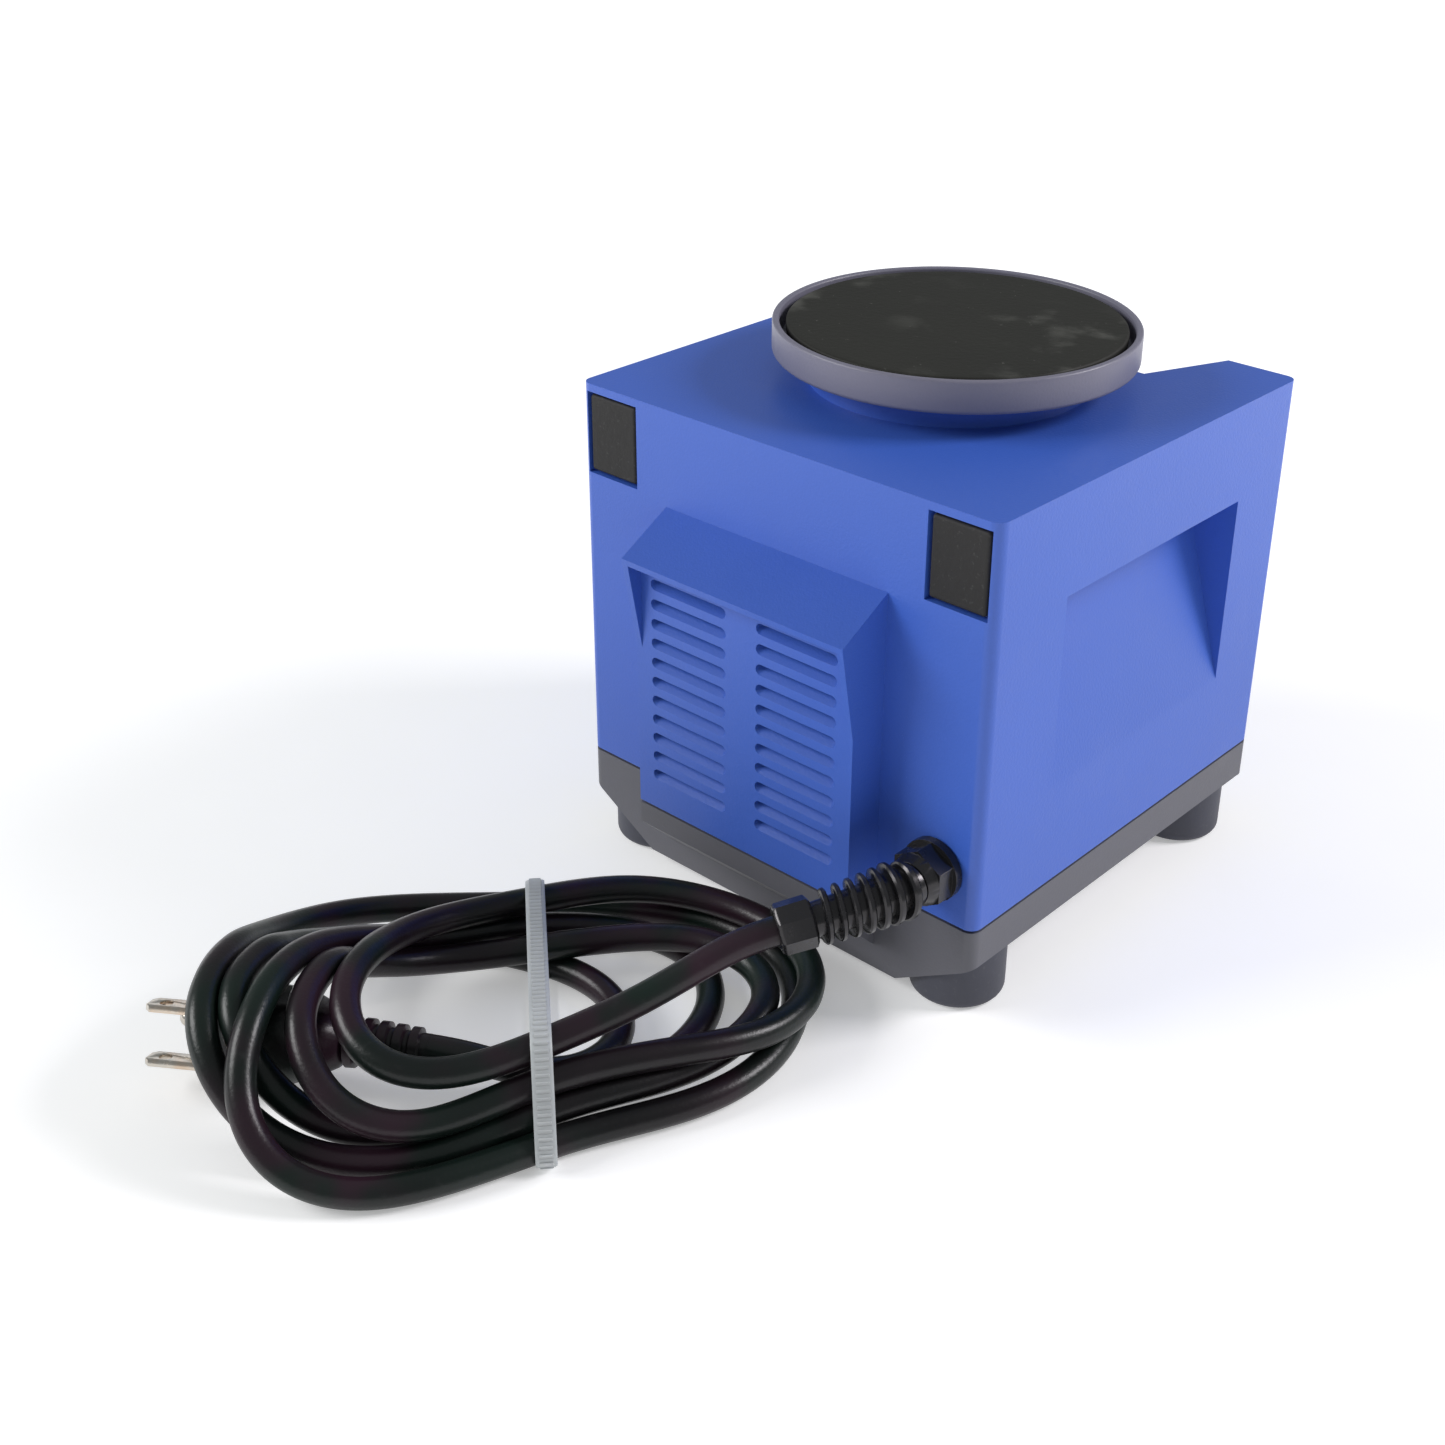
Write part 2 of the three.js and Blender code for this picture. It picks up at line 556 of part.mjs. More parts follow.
function feet() {
  footPlaces().forEach(([x, y], i) => {
    const low = FOOT_SCREW_HEAD_HEIGHT + 2;
    const edge = Array.from({ length: 3 }, (_, k) => {
      const angle = (k / 2) * (Math.PI / 2);
      return [FOOT_RADIUS - FOOT_EDGE + FOOT_EDGE * Math.sin(angle), FOOT_EDGE - FOOT_EDGE * Math.cos(angle)];
    });
    add(`foot_${i + 1}`, turned(x, y, [
      [FOOT_SCREW_HEAD_RADIUS + 1, 0], ...edge, [FOOT_RADIUS, footTop],
      [FOOT_SCREW_RADIUS + GAP, footTop], [FOOT_SCREW_RADIUS + GAP, low + GAP],
      [FOOT_SCREW_HEAD_RADIUS + 1, low + GAP],
    ], 24), FOOT_RUBBER);
    add(`foot_screw_${i + 1}`, turned(x, y, [
      [0, low - FOOT_SCREW_HEAD_HEIGHT], [FOOT_SCREW_HEAD_RADIUS, low - FOOT_SCREW_HEAD_HEIGHT],
      [FOOT_SCREW_HEAD_RADIUS, low], [FOOT_SCREW_RADIUS, low],
      [FOOT_SCREW_RADIUS, wellTop + WALL + 2], [0, wellTop + WALL + 2],
    ], 12), STEEL);
  });
}

function casingScrews() {
  corners(HALF_WIDTH - SCREW_INSET, SCREW_Y).forEach(([x, y], i) => {
    const seat = screwSeatZ - GAP;
    add(`casing_screw_${i + 1}`, turned(x, HOUSING_Y + y, [
      [0, seat - SCREW_HEAD_HEIGHT], [SCREW_HEAD_RADIUS, seat - SCREW_HEAD_HEIGHT],
      [SCREW_HEAD_RADIUS, seat], [SCREW_RADIUS, seat], [SCREW_RADIUS, SEAM_Z + 10], [0, SEAM_Z + 10],
    ], 12), STEEL);
  });
}

function rearPads() {
  for (const [name, side] of [['rear_pad_left', -1], ['rear_pad_right', 1]]) {
    const { x, top } = padPlace(side);
    const half = PAD_WIDTH / 2 - PAD_FIT;
    add(name, box(x - half, REAR_Y - PAD_POCKET_DEPTH + GAP, top - PAD_HEIGHT + PAD_FIT,
      x + half, REAR_Y - PAD_SINK, top - PAD_FIT), RUBBER);
  }
}

// ---------------------------------------------------------------- controls
// The control panel lies on the bay's slope; its group's axes are across, up the slope and outwards
const panelLift = GAP + PLATE; // outer face of the panel above the slope

function onSlope(across, up, out) {
  const y = FRONT_Y + BAY_FOOT_Y + up * Math.cos(slopeAngle) - out * Math.sin(slopeAngle);
  const z = SEAM_Z + BAY_FOOT_Z + up * Math.sin(slopeAngle) + out * Math.cos(slopeAngle);
  return new THREE.Vector3(across, y, z);
}

// Turns a geometry made flat on X-Y, facing +Z, to lie on the slope at a place
function laid(geometry, across, up, out = 0) {
  const at = onSlope(across, up, out);
  return geometry.rotateX(slopeAngle).translate(at.x, at.y, at.z);
}

const CONTROLS_UP = slopeLength * 0.52; // knob and switch up the slope

function controlPanel() {
  const halfAt = (up) => {
    const y = BAY_FOOT_Y + up * Math.cos(slopeAngle);
    const splay = (BAY_FRONT_HALF_WIDTH - BAY_REAR_HALF_WIDTH) / BAY_REAR_Y;
    return BAY_FRONT_HALF_WIDTH - splay * y - PANEL_MARGIN;
  };
  const low = PANEL_MARGIN;
  const high = slopeLength - PANEL_MARGIN;
  const plate = extrude(outlineOf([
    [-halfAt(low), low], [halfAt(low), low], [halfAt(high), high], [-halfAt(high), high],
  ]), PLATE);
  const flat = (x, y, radius) => solid(cylinder(x, y, -1, PLATE + 1, radius, 24));
  const halfW = SWITCH_WIDTH / 2 + GAP;
  const halfH = SWITCH_HEIGHT / 2 + GAP;
  const panel = cut(solid(plate),
    flat(KNOB_X, CONTROLS_UP, KNOB_SHAFT_RADIUS + GAP),
    flat(SWITCH_X, CONTROLS_UP + SWITCH_HEIGHT, LENS_RADIUS + GAP),
    solid(box(SWITCH_X - halfW, CONTROLS_UP - halfH, -1, SWITCH_X + halfW, CONTROLS_UP + halfH, PLATE + 1)));
  add('control_panel', laid(geometryOf(panel), 0, 0, GAP), GREY);
  add('indicator_lens', laid(
    turned(0, 0, [[0, 0], [LENS_RADIUS, 0], [LENS_RADIUS, PLATE + 0.4], [0, PLATE + 1]], 20),
    SWITCH_X, CONTROLS_UP + SWITCH_HEIGHT, GAP), LENS_GREEN);
}

function speedKnob() {
  const skirt = KNOB_RADIUS;
  add('speed_knob', laid(turned(0, 0, [
    [0, KNOB_LIFT], [skirt, KNOB_LIFT], [skirt, KNOB_LIFT + 1.5], [skirt - 1.6, KNOB_LIFT + 3],
    [skirt - 2.4, KNOB_HEIGHT], [skirt - 3.4, KNOB_HEIGHT + 1], [0, KNOB_HEIGHT + 1],
  ], 28), KNOB_X, CONTROLS_UP, panelLift), BLACK);
  const shaftFoot = -panelLift - WALL * 1.3 - POT_HEIGHT;
  add('knob_shaft', laid(cylinder(0, 0, shaftFoot, KNOB_LIFT - GAP, KNOB_SHAFT_RADIUS, 24),
    KNOB_X, CONTROLS_UP, panelLift), STEEL);
  add('knob_pointer', laid(
    box(-0.7, 1.5, KNOB_HEIGHT + 1 + GAP, 0.7, skirt - 3.6, KNOB_HEIGHT + 1.6),
    KNOB_X, CONTROLS_UP, panelLift), NYLON);
}

// Rocker at rest with its lower half pressed in; it turns about an axis across the panel
function powerSwitch() {
  const w = SWITCH_WIDTH / 2;
  const h = SWITCH_HEIGHT / 2;
  const rim = 1.4;
  const frame = cut(solid(box(-w, -h, 0, w, h, PLATE + 1)),
    solid(box(-w + rim, -h + rim, -1, w - rim, h - rim, PLATE + 2)));
  add('switch_frame', laid(geometryOf(frame), SWITCH_X, CONTROLS_UP, GAP), BLACK);
  const inW = w - rim - GAP;
  const inH = h - rim - 0.9;
  const rocker = extrude(outlineOf([
    [-inH, 0.6], [0, -0.2], [inH, 0.6], [inH, 3], [0, 2.1], [-inH, 3],
  ]), inW * 2)
    .applyMatrix4(new THREE.Matrix4().set(0, 0, 1, -inW, 1, 0, 0, 0, 0, 1, 0, 0, 0, 0, 0, 1))
    .rotateX(THREE.MathUtils.degToRad(ROCKER_TILT))
    .translate(0, 0, PLATE - 0.4);
  add('power_rocker', laid(rocker, SWITCH_X, CONTROLS_UP, GAP), RUBBER);
}

// ---------------------------------------------------------------- drive
function motorPlate() {
  const halfX = MOTOR_PLATE_WIDTH / 2;
  const halfY = MOTOR_PLATE_DEPTH / 2;
  const blank = extrude(roundedRectangle(halfX, halfY, 4), MOTOR_PLATE_THICK)
    .translate(0, DRIVE_Y, MOTOR_PLATE_Z);
  let plate = cut(solid(blank),
    solid(cylinder(0, DRIVE_Y, MOTOR_PLATE_Z - 1, PLATE_TOP_Z + 1, BEARING_RADIUS + GAP, 32)));
  for (const [x, y] of postPlaces()) {
    plate = plate.subtract(solid(
      cylinder(x, y, MOTOR_PLATE_Z - 1, PLATE_TOP_Z + 1, SCREW_RADIUS + GAP, 12)));
  }
  add('motor_plate', geometryOf(plate), STEEL);
}

const postPlaces = () =>
  corners(MOTOR_PLATE_WIDTH / 2 - POST_INSET, MOTOR_PLATE_DEPTH / 2 - POST_INSET)
    .map(([x, y]) => [x, DRIVE_Y + y]);

// A post with a threaded stud that comes up through the motor plate
function posts() {
  postPlaces().forEach(([x, y], i) => {
    add(`motor_post_${i + 1}`, turned(x, y, [
      [0, TRAY_FLOOR_Z + GAP], [POST_RADIUS, TRAY_FLOOR_Z + GAP],
      [POST_RADIUS, MOTOR_PLATE_Z - GAP], [SCREW_RADIUS, MOTOR_PLATE_Z - GAP],
      [SCREW_RADIUS, PLATE_TOP_Z + 4], [0, PLATE_TOP_Z + 4],
    ], 12), STEEL);
  });
}

function motor() {
  const top = MOTOR_PLATE_Z - GAP;
  const seatOuter = BEARING_RADIUS + BEARING_SEAT;
  const seatZ = MOTOR_FOOT_Z + BEARING_WIDTH + GAP;
  add('motor_can', turned(0, DRIVE_Y, [
    [SHAFT_RADIUS + 2, MOTOR_FOOT_Z - PLATE], [MOTOR_RADIUS, MOTOR_FOOT_Z - PLATE], [MOTOR_RADIUS, top],
    [MOTOR_RADIUS - PLATE, top], [MOTOR_RADIUS - PLATE, MOTOR_FOOT_Z],
    [seatOuter, MOTOR_FOOT_Z], [seatOuter, seatZ], [BEARING_RADIUS + GAP, seatZ],
    [BEARING_RADIUS + GAP, MOTOR_FOOT_Z], [SHAFT_RADIUS + 2, MOTOR_FOOT_Z],
  ], 32), ALUMINIUM);
  const statorInner = ROTOR_RADIUS + AIR_GAP;
  add('motor_stator', ring(0, DRIVE_Y, seatZ + 4, top - 9, statorInner,
    MOTOR_RADIUS - PLATE - STATOR_FIT, 32), COPPER);
  const bore = SHAFT_RADIUS + RUNNING_GAP;
  add('lower_bearing', ring(0, DRIVE_Y, MOTOR_FOOT_Z + GAP, MOTOR_FOOT_Z + BEARING_WIDTH,
    bore, BEARING_RADIUS, 24), STEEL);
  add('upper_bearing', ring(0, DRIVE_Y, PLATE_TOP_Z - BEARING_WIDTH, PLATE_TOP_Z,
    bore, BEARING_RADIUS, 24), STEEL);
}

// Everything on the motor shaft turns together
function rotor() {
  add('motor_shaft', cylinder(0, DRIVE_Y, FAN_Z - 3, HUB_Z + HUB_HEIGHT - 3, SHAFT_RADIUS, 24), STEEL);
  const z0 = MOTOR_FOOT_Z + BEARING_WIDTH + 4;
  add('rotor_core', ring(0, DRIVE_Y, z0, MOTOR_PLATE_Z - BEARING_WIDTH - 3,
    SHAFT_RADIUS + GAP, ROTOR_RADIUS, 32), IRON);
  coolingFan();
  eccentric();
}

function coolingFan() {
  const hub = SHAFT_RADIUS + 5;
  let fan = solid(cylinder(0, 0, 0, FAN_HEIGHT, hub, 24));
  const blade = box(hub - 1, -0.8, 0.5, FAN_RADIUS, 0.8, FAN_HEIGHT);
  for (let i = 0; i < FAN_BLADES; i += 1) {
    fan = fan.add(solid(blade.clone().rotateZ((i / FAN_BLADES) * Math.PI * 2)));
  }
  fan = fan.add(solid(cylinder(0, 0, FAN_HEIGHT - 1, FAN_HEIGHT, FAN_RADIUS - 2, 32)));
  fan = fan.subtract(solid(cylinder(0, 0, -1, FAN_HEIGHT + 1, SHAFT_RADIUS + GAP, 24)));
  add('cooling_fan', geometryOf(fan).translate(0, DRIVE_Y, FAN_Z), BLACK);
}

// The hub on the shaft carries the offset pin, and a half disc that balances the dish
function eccentric() {
  const socket = cylinder(0, DRIVE_Y, HUB_Z - 1, HUB_Z + HUB_HEIGHT - 3 + GAP, SHAFT_RADIUS + GAP, 24);
  const hub = cut(solid(cylinder(0, DRIVE_Y, HUB_Z, PIN_Z, HUB_RADIUS, 28)), solid(socket));
  const pin = solid(cylinder(0, DISH_Y, PIN_Z - 1, CARRIER_Z + BEARING_WIDTH, SHAFT_RADIUS, 24));
  add('eccentric_hub', geometryOf(join(hub, pin)), STEEL);
  const weight = cut(solid(cylinder(0, DRIVE_Y, HUB_Z, PIN_Z - 1, WEIGHT_RADIUS, 32)),
    solid(cylinder(0, DRIVE_Y, HUB_Z - 1, PIN_Z, HUB_RADIUS + GAP, 28)),
    solid(box(-WEIGHT_RADIUS - 1, DRIVE_Y - WEIGHT_RADIUS - 1, HUB_Z - 1,
      WEIGHT_RADIUS + 1, DRIVE_Y + 3, PIN_Z)));
  add('counterweight', geometryOf(weight), IRON);
}

// The carrier sits on the offset pin and holds the dish, so both orbit without turning
function dishAndCarrier() {
  const top = DISH_Z - GAP;
  const bearingTop = CARRIER_Z + BEARING_WIDTH;
  add('carrier_bearing', ring(0, DISH_Y, CARRIER_Z, bearingTop,
    SHAFT_RADIUS + RUNNING_GAP, BEARING_RADIUS, 24), STEEL);
  const screwR = SCREW_RADIUS + 0.5;
  add('dish_carrier', turned(0, DISH_Y, [
    [BEARING_RADIUS + GAP, CARRIER_Z], [CARRIER_RADIUS, CARRIER_Z], [CARRIER_RADIUS, top],
    [screwR + GAP, top], [screwR + GAP, top - 12], [4, top - 12], [4, bearingTop + GAP + 1],
    [BEARING_RADIUS + GAP, bearingTop + GAP + 1],
  ], 28), ALUMINIUM);
  const rimTop = DISH_Z + DISH_HEIGHT;
  add('dish', turned(0, DISH_Y, [
    [screwR + GAP, DISH_Z], [DISH_RADIUS - 1, DISH_Z], [DISH_RADIUS, DISH_Z + 1],
    [DISH_RADIUS, rimTop], [DISH_RADIUS - DISH_WALL, rimTop],
    [DISH_RADIUS - DISH_WALL, DISH_FLOOR_TOP], [SCREW_HEAD_RADIUS + GAP * 2, DISH_FLOOR_TOP],
    [screwR + GAP, DISH_FLOOR_TOP - 1.6],
  ], 56), RIM_GREY);
  add('dish_mat', cylinder(0, DISH_Y, DISH_FLOOR_TOP + GAP, rimTop - MAT_SINK, MAT_RADIUS, 56), RUBBER);
  add('dish_screw', turned(0, DISH_Y, [
    [0, top - 10], [screwR, top - 10], [screwR, DISH_FLOOR_TOP - 1.6],
    [SCREW_HEAD_RADIUS, DISH_FLOOR_TOP - 0.2], [0, DISH_FLOOR_TOP - 0.2],
  ], 12), STEEL);
}

// Rubber ring in the boss's hole that keeps spills out of the drive
function bellowsRing() {
  const outer = CARRIER_HOLE - GAP;
  const inner = outer - BELLOWS_WALL;
  const low = TOP_Z - WALL - 2;
  const top = TOP_Z + BOSS_HEIGHT;
  add('seal_ring', turned(0, DRIVE_Y, [
    [inner, low], [outer + 4, low], [outer + 4, low + 2 - GAP], [outer, low + 2 - GAP],
    [outer, top], [inner, top],
  ], 28), RUBBER);
}

// ---------------------------------------------------------------- inside the tray
function ballast() {
  const z0 = TRAY_FLOOR_Z + GAP;
  const halfX = BALLAST_WIDTH / 2;
  const halfY = BALLAST_DEPTH / 2;
  let block = solid(extrude(roundedRectangle(halfX, halfY, 5), BALLAST_HEIGHT)
    .translate(0, HOUSING_Y - 8, z0));
  for (const [x, y] of postPlaces()) {
    block = block.subtract(solid(cylinder(x, y, 0, z0 + BALLAST_HEIGHT + 1, POST_RADIUS + 1, 12)));
  }
  block = block.intersect(solid(alongY(trayOutline(WALL + GAP), FRONT_Y + WALL + GAP, REAR_Y - WALL - GAP)));
  for (const [x, y] of footPlaces()) {
    block = block.subtract(solid(cylinder(x, y, 0, wellTop + WALL + GAP, FOOT_RADIUS + WALL + GAP, 24)));
  }
  add('ballast_block', geometryOf(block), IRON);
}

const boardY = REAR_Y - WALL - 17;
const boardZ = TRAY_FLOOR_Z + 20;

function electronics() {
  const half = BOARD_WIDTH / 2;
  add('control_board', box(-half, boardY, boardZ, half, boardY + 1.6, boardZ + BOARD_HEIGHT), BOARD_GREEN);
  add('capacitor', new THREE.CylinderGeometry(7, 7, 12, 24)
    .translate(-half + 12, boardY - GAP - 6, boardZ + BOARD_HEIGHT - 10), BLACK);
  const blockZ = boardZ + 5;
  add('terminal_block', box(4, boardY - GAP - 10, blockZ, 28, boardY - GAP, blockZ + 9), NYLON);
  const potTop = -WALL * 1.3;
  const potBore = KNOB_SHAFT_RADIUS + RUNNING_GAP;
  add('speed_pot', laid(
    ring(0, 0, potTop - POT_HEIGHT, potTop, potBore, POT_RADIUS, 28), KNOB_X, CONTROLS_UP), STEEL);
}

// ---------------------------------------------------------------- mains lead
const glandZ = SEAM_Z + GLAND_Z;

// Turns an upright geometry at the origin to face +Y at the gland
const atGland = (geometry, out = 0) =>
  geometry.rotateX(-Math.PI / 2).translate(GLAND_X, REAR_Y + out, glandZ);

function gland() {
  const nutStart = GAP;
  const flangeTop = nutStart + GLAND_FLANGE;
  const domeStart = GLAND_LENGTH - GLAND_DOME;
  const threadTop = nutStart + GLAND_LENGTH / 2;
  const lockTop = -WALL - GAP;
  const threadFoot = lockTop - LOCKNUT_THICK - 1.7;
  const bore = CORD_DIAMETER / 2 + GAP;
  const thread = (low, high) => solid(cylinder(0, 0, low, high, GLAND_THREAD_RADIUS + GAP, 24));
  add('gland_body', atGland(ring(0, 0, threadFoot, threadTop, bore, GLAND_THREAD_RADIUS, 24)), BLACK);
  const flange = solid(cylinder(0, 0, nutStart, flangeTop, GLAND_RADIUS, 24));
  const hexagon = solid(cylinder(0, 0, flangeTop - JOIN, domeStart + JOIN, GLAND_RADIUS * 0.97, 6));
  const dome = solid(
    cylinder(0, 0, domeStart, GLAND_LENGTH, GLAND_RADIUS * 0.86, 24, GLAND_RADIUS * 0.7));
  const nut = cut(join(flange, hexagon, dome), thread(-1, threadTop + GAP),
    solid(cylinder(0, 0, -1, GLAND_LENGTH + 1, bore, 24)));
  add('gland_nut', atGland(geometryOf(nut)), BLACK);
  const locknut = cut(
    solid(cylinder(0, 0, lockTop - LOCKNUT_THICK, lockTop, LOCKNUT_RADIUS, 6)), thread(threadFoot, 0));
  add('gland_locknut', atGland(geometryOf(locknut)), STEEL);
}

const bootStart = new THREE.Vector3(GLAND_X, REAR_Y + GLAND_LENGTH + GAP, glandZ);
const bootEnd = new THREE.Vector3(GLAND_X + 15, REAR_Y + 39.5, glandZ - 5);

// Bends an upright geometry, made from z = 0 up to the curve's length, along the curve
function bentAlong(geometry, curve, length) {
  const position = geometry.attributes.position;
  const side = new THREE.Vector3();
  const lift = new THREE.Vector3();
  for (let i = 0; i < position.count; i += 1) {
    const t = THREE.MathUtils.clamp(position.getZ(i) / length, 0, 1);
    const at = curve.getPointAt(t);
    const along = curve.getTangentAt(t);
    side.crossVectors(along, new THREE.Vector3(0, 0, 1)).normalize();
    lift.crossVectors(along, side);
    at.addScaledVector(side, position.getX(i)).addScaledVector(lift, position.getY(i));
    position.setXYZ(i, at.x, at.y, at.z);
  }
  return geometry;
}

const bootCurve = new THREE.QuadraticBezierCurve3(
  bootStart, bootStart.clone().add(new THREE.Vector3(0, BOOT_STRAIGHT, 0)), bootEnd);
const bootLength = bootCurve.getLength();

function strainReliefBoot() {
  const ribbed = bootLength - BOOT_COLLAR_LENGTH;
  const pitch = ribbed / BOOT_RIBS;
  const radiusAt = (z) => THREE.MathUtils.lerp(BOOT_RADIUS, BOOT_END_RADIUS, z / ribbed);
  const outline = [[0, 0]];
  for (let i = 0; i < BOOT_RIBS; i += 1) {
    const z = i * pitch;
    outline.push([radiusAt(z), z], [radiusAt(z), z + pitch * 0.5]);
    outline.push([radiusAt(z) - RIB_DEPTH, z + pitch * 0.5], [radiusAt(z) - RIB_DEPTH, z + pitch]);
  }
  outline.push([BOOT_END_RADIUS, ribbed], [BOOT_END_RADIUS - 0.6, bootLength], [0, bootLength]);
  add('strain_relief_boot', bentAlong(turned(0, 0, outline, 16), bootCurve, bootLength), BLACK);
}

// The lead leaves the boot, drops onto the hank and dives into it
const LEAD_POINTS = [
  [-37.8, 96.1, 36.2], [-35, 100.1, 35.2], [-31.8, 105.5, 33], [-28.4, 111.8, 29.6],
  [-25.2, 118.4, 26], [-22, 126, 23],
];

function leadTube(radius, sides) {
  const curve = new THREE.CatmullRomCurve3(LEAD_POINTS.map(([x, y, z]) => new THREE.Vector3(x, y, z)));
  const section = new THREE.Shape().absarc(0, 0, radius, 0, Math.PI * 2);
  return new THREE.ExtrudeGeometry(section, { steps: 5, curveSegments: sides, extrudePath: curve });
}

function mainsLead() {
  add('mains_lead', leadTube(CORD_DIAMETER / 2, 10), CORD_BLACK);
}

// An outline with round ends, long along X
function roundEnded(length, width) {
  const radius = width / 2;
  const reach = length / 2 - radius;
  const shape = new THREE.Shape();
  shape.moveTo(-reach, -radius);
  shape.absarc(reach, 0, radius, -Math.PI / 2, Math.PI / 2);
  shape.absarc(-reach, 0, radius, Math.PI / 2, Math.PI * 1.5);
  return shape;
}

const inHank = (geometry) =>
  geometry.rotateZ(THREE.MathUtils.degToRad(HANK_TURN)).translate(HANK_X, HANK_Y, 0);

// A [y, z] outline along X in the hank's own frame, across its strands
const acrossHank = (shape, x0, x1) => shapeAlongX(shape, x0, x1, 4);

// The outside and the hole of the tie's band; a skin makes the band thicker both ways
function tieLoop(skin) {
  const half = HANK_WIDTH / 2 + GAP + TIE_THICK + skin;
  const top = HANK_HEIGHT + GAP + TIE_THICK + skin;
  const shape = roundedRectangle(half, (top + skin) / 2, 6);
  return solid(acrossHank(shape, TIE_ALONG - skin, TIE_ALONG + TIE_WIDTH + skin)
    .translate(0, 0, (top - skin) / 2));
}

function tieHole(skin) {
  const half = HANK_WIDTH / 2 + GAP - skin;
  const top = HANK_HEIGHT + GAP - skin;
  const low = TIE_THICK + skin;
  const shape = roundedRectangle(half, (top - low) / 2, 5);
  return solid(acrossHank(shape, TIE_ALONG - 2, TIE_ALONG + TIE_WIDTH + 2)
    .translate(0, 0, (top + low) / 2));
}

function hank() {
  const outline = () => roundEnded(HANK_LENGTH, HANK_WIDTH);
  const low = solid(extrude(outline(), HANK_HEIGHT, 12));
  const saddle = solid(extrude(outline(), SADDLE_HEIGHT, 12)).intersect(solid(
    box(SADDLE_ALONG, -HANK_WIDTH, 0, HANK_LENGTH, HANK_WIDTH, SADDLE_HEIGHT)));
  const open = extrude(roundEnded(HANK_OPEN_LENGTH, HANK_OPEN_WIDTH), SADDLE_HEIGHT + 2, 8)
    .translate(0, 0, -1);
  const tieRoom = cut(tieLoop(GAP), tieHole(GAP));
  const coil = inHank(geometryOf(cut(join(low, saddle), solid(open), tieRoom)));
  const plugReach = PLUG_LENGTH + PLUG_TAIL_LENGTH + GAP * 2;
  const plugRoom = plugUpright(
    box(-plugReach, -plugHalfAcross - GAP, -1,
      HANK_LENGTH / 2, plugHalfAcross + GAP, plugHalfHigh * 2 + GAP));
  const casingRoom = box(-HOUSING_WIDTH, FRONT_Y, -1, HOUSING_WIDTH, REAR_Y + COWL_PANEL_DEPTH + GAP, TOP_Z);
  add('cord_hank', geometryOf(cut(solid(coil), solid(plugRoom), solid(casingRoom),
    solid(leadTube(CORD_DIAMETER / 2 + GAP, 10)))), CORD_BLACK);
  add('cord_tie', inHank(geometryOf(cut(tieLoop(0), tieHole(0)))), NYLON);
}

// The plug is made along X with its front face at zero, then rolled, turned and put on the bench
const rollCos = Math.abs(Math.cos(THREE.MathUtils.degToRad(PLUG_ROLL)));
const rollSin = Math.abs(Math.sin(THREE.MathUtils.degToRad(PLUG_ROLL)));
const flatHalf = [PLUG_WIDTH / 2 - PLUG_CORNER, PLUG_THICK / 2 - PLUG_CORNER];
const plugHalfAcross = flatHalf[0] * rollCos + flatHalf[1] * rollSin + PLUG_CORNER;
const plugHalfHigh = flatHalf[0] * rollSin + flatHalf[1] * rollCos + PLUG_CORNER;

function plugUpright(geometry) {
  return geometry.rotateZ(THREE.MathUtils.degToRad(PLUG_TURN)).translate(PLUG_X, PLUG_Y, 0);
}

function plugPlaced(geometry) {
  return plugUpright(geometry.rotateX(THREE.MathUtils.degToRad(PLUG_ROLL)).translate(0, 0, plugHalfHigh));
}

function plug() {
  const nose = extrude(roundedRectangle(PLUG_WIDTH / 2, PLUG_THICK / 2, PLUG_CORNER), PLUG_LENGTH, 4)
    .applyMatrix4(new THREE.Matrix4().set(0, 0, 1, -PLUG_LENGTH, 1, 0, 0, 0, 0, 1, 0, 0, 0, 0, 0, 1));
  const tail = new THREE.CylinderGeometry(
    CORD_DIAMETER / 2 + 0.8, PLUG_TAIL_RADIUS, PLUG_TAIL_LENGTH + 2, 20)
    .rotateZ(Math.PI / 2).translate(-PLUG_LENGTH - PLUG_TAIL_LENGTH / 2 + 1, 0, 0);
  const bladeY = [-BLADE_SPACING / 2, BLADE_SPACING / 2];
  const bladeBox = (y, skin, reach) => box(-BLADE_ROOT - skin, y - BLADE_THICK / 2 - skin,
    BLADE_OFFSET - BLADE_WIDTH / 2 - skin, reach, y + BLADE_THICK / 2 + skin,
    BLADE_OFFSET + BLADE_WIDTH / 2 + skin);
  const pin = (radius, start, end) => new THREE.CylinderGeometry(radius, radius, end - start, 20)
    .rotateZ(Math.PI / 2).translate((start + end) / 2, 0, BLADE_OFFSET + GROUND_OFFSET);
  const body = cut(join(solid(nose), solid(tail)),
    ...bladeY.map((y) => solid(bladeBox(y, GAP, 1))),
    solid(pin(GROUND_RADIUS + GAP, -BLADE_ROOT - GAP, 1)));
  add('plug_body', plugPlaced(geometryOf(body)), CORD_BLACK);
  bladeY.forEach((y, i) => add(`plug_blade_${i + 1}`, plugPlaced(bladeBox(y, 0, BLADE_LENGTH)), BRASS));
  add('plug_ground_pin', plugPlaced(pin(GROUND_RADIUS, -BLADE_ROOT, GROUND_LENGTH)), BRASS);
}

housing();
baseTray();
feet();
casingScrews();
rearPads();
controlPanel();
speedKnob();
powerSwitch();
motorPlate();
posts();
motor();
rotor();
dishAndCarrier();
bellowsRing();
ballast();
electronics();
gland();
strainReliefBoot();
mainsLead();
hank();
plug();

export default part;
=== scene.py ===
import json
import math

import bmesh
import bpy
import numpy as np
from bpy.props import FloatProperty, FloatVectorProperty, IntProperty, PointerProperty
from mathutils import Matrix, Vector


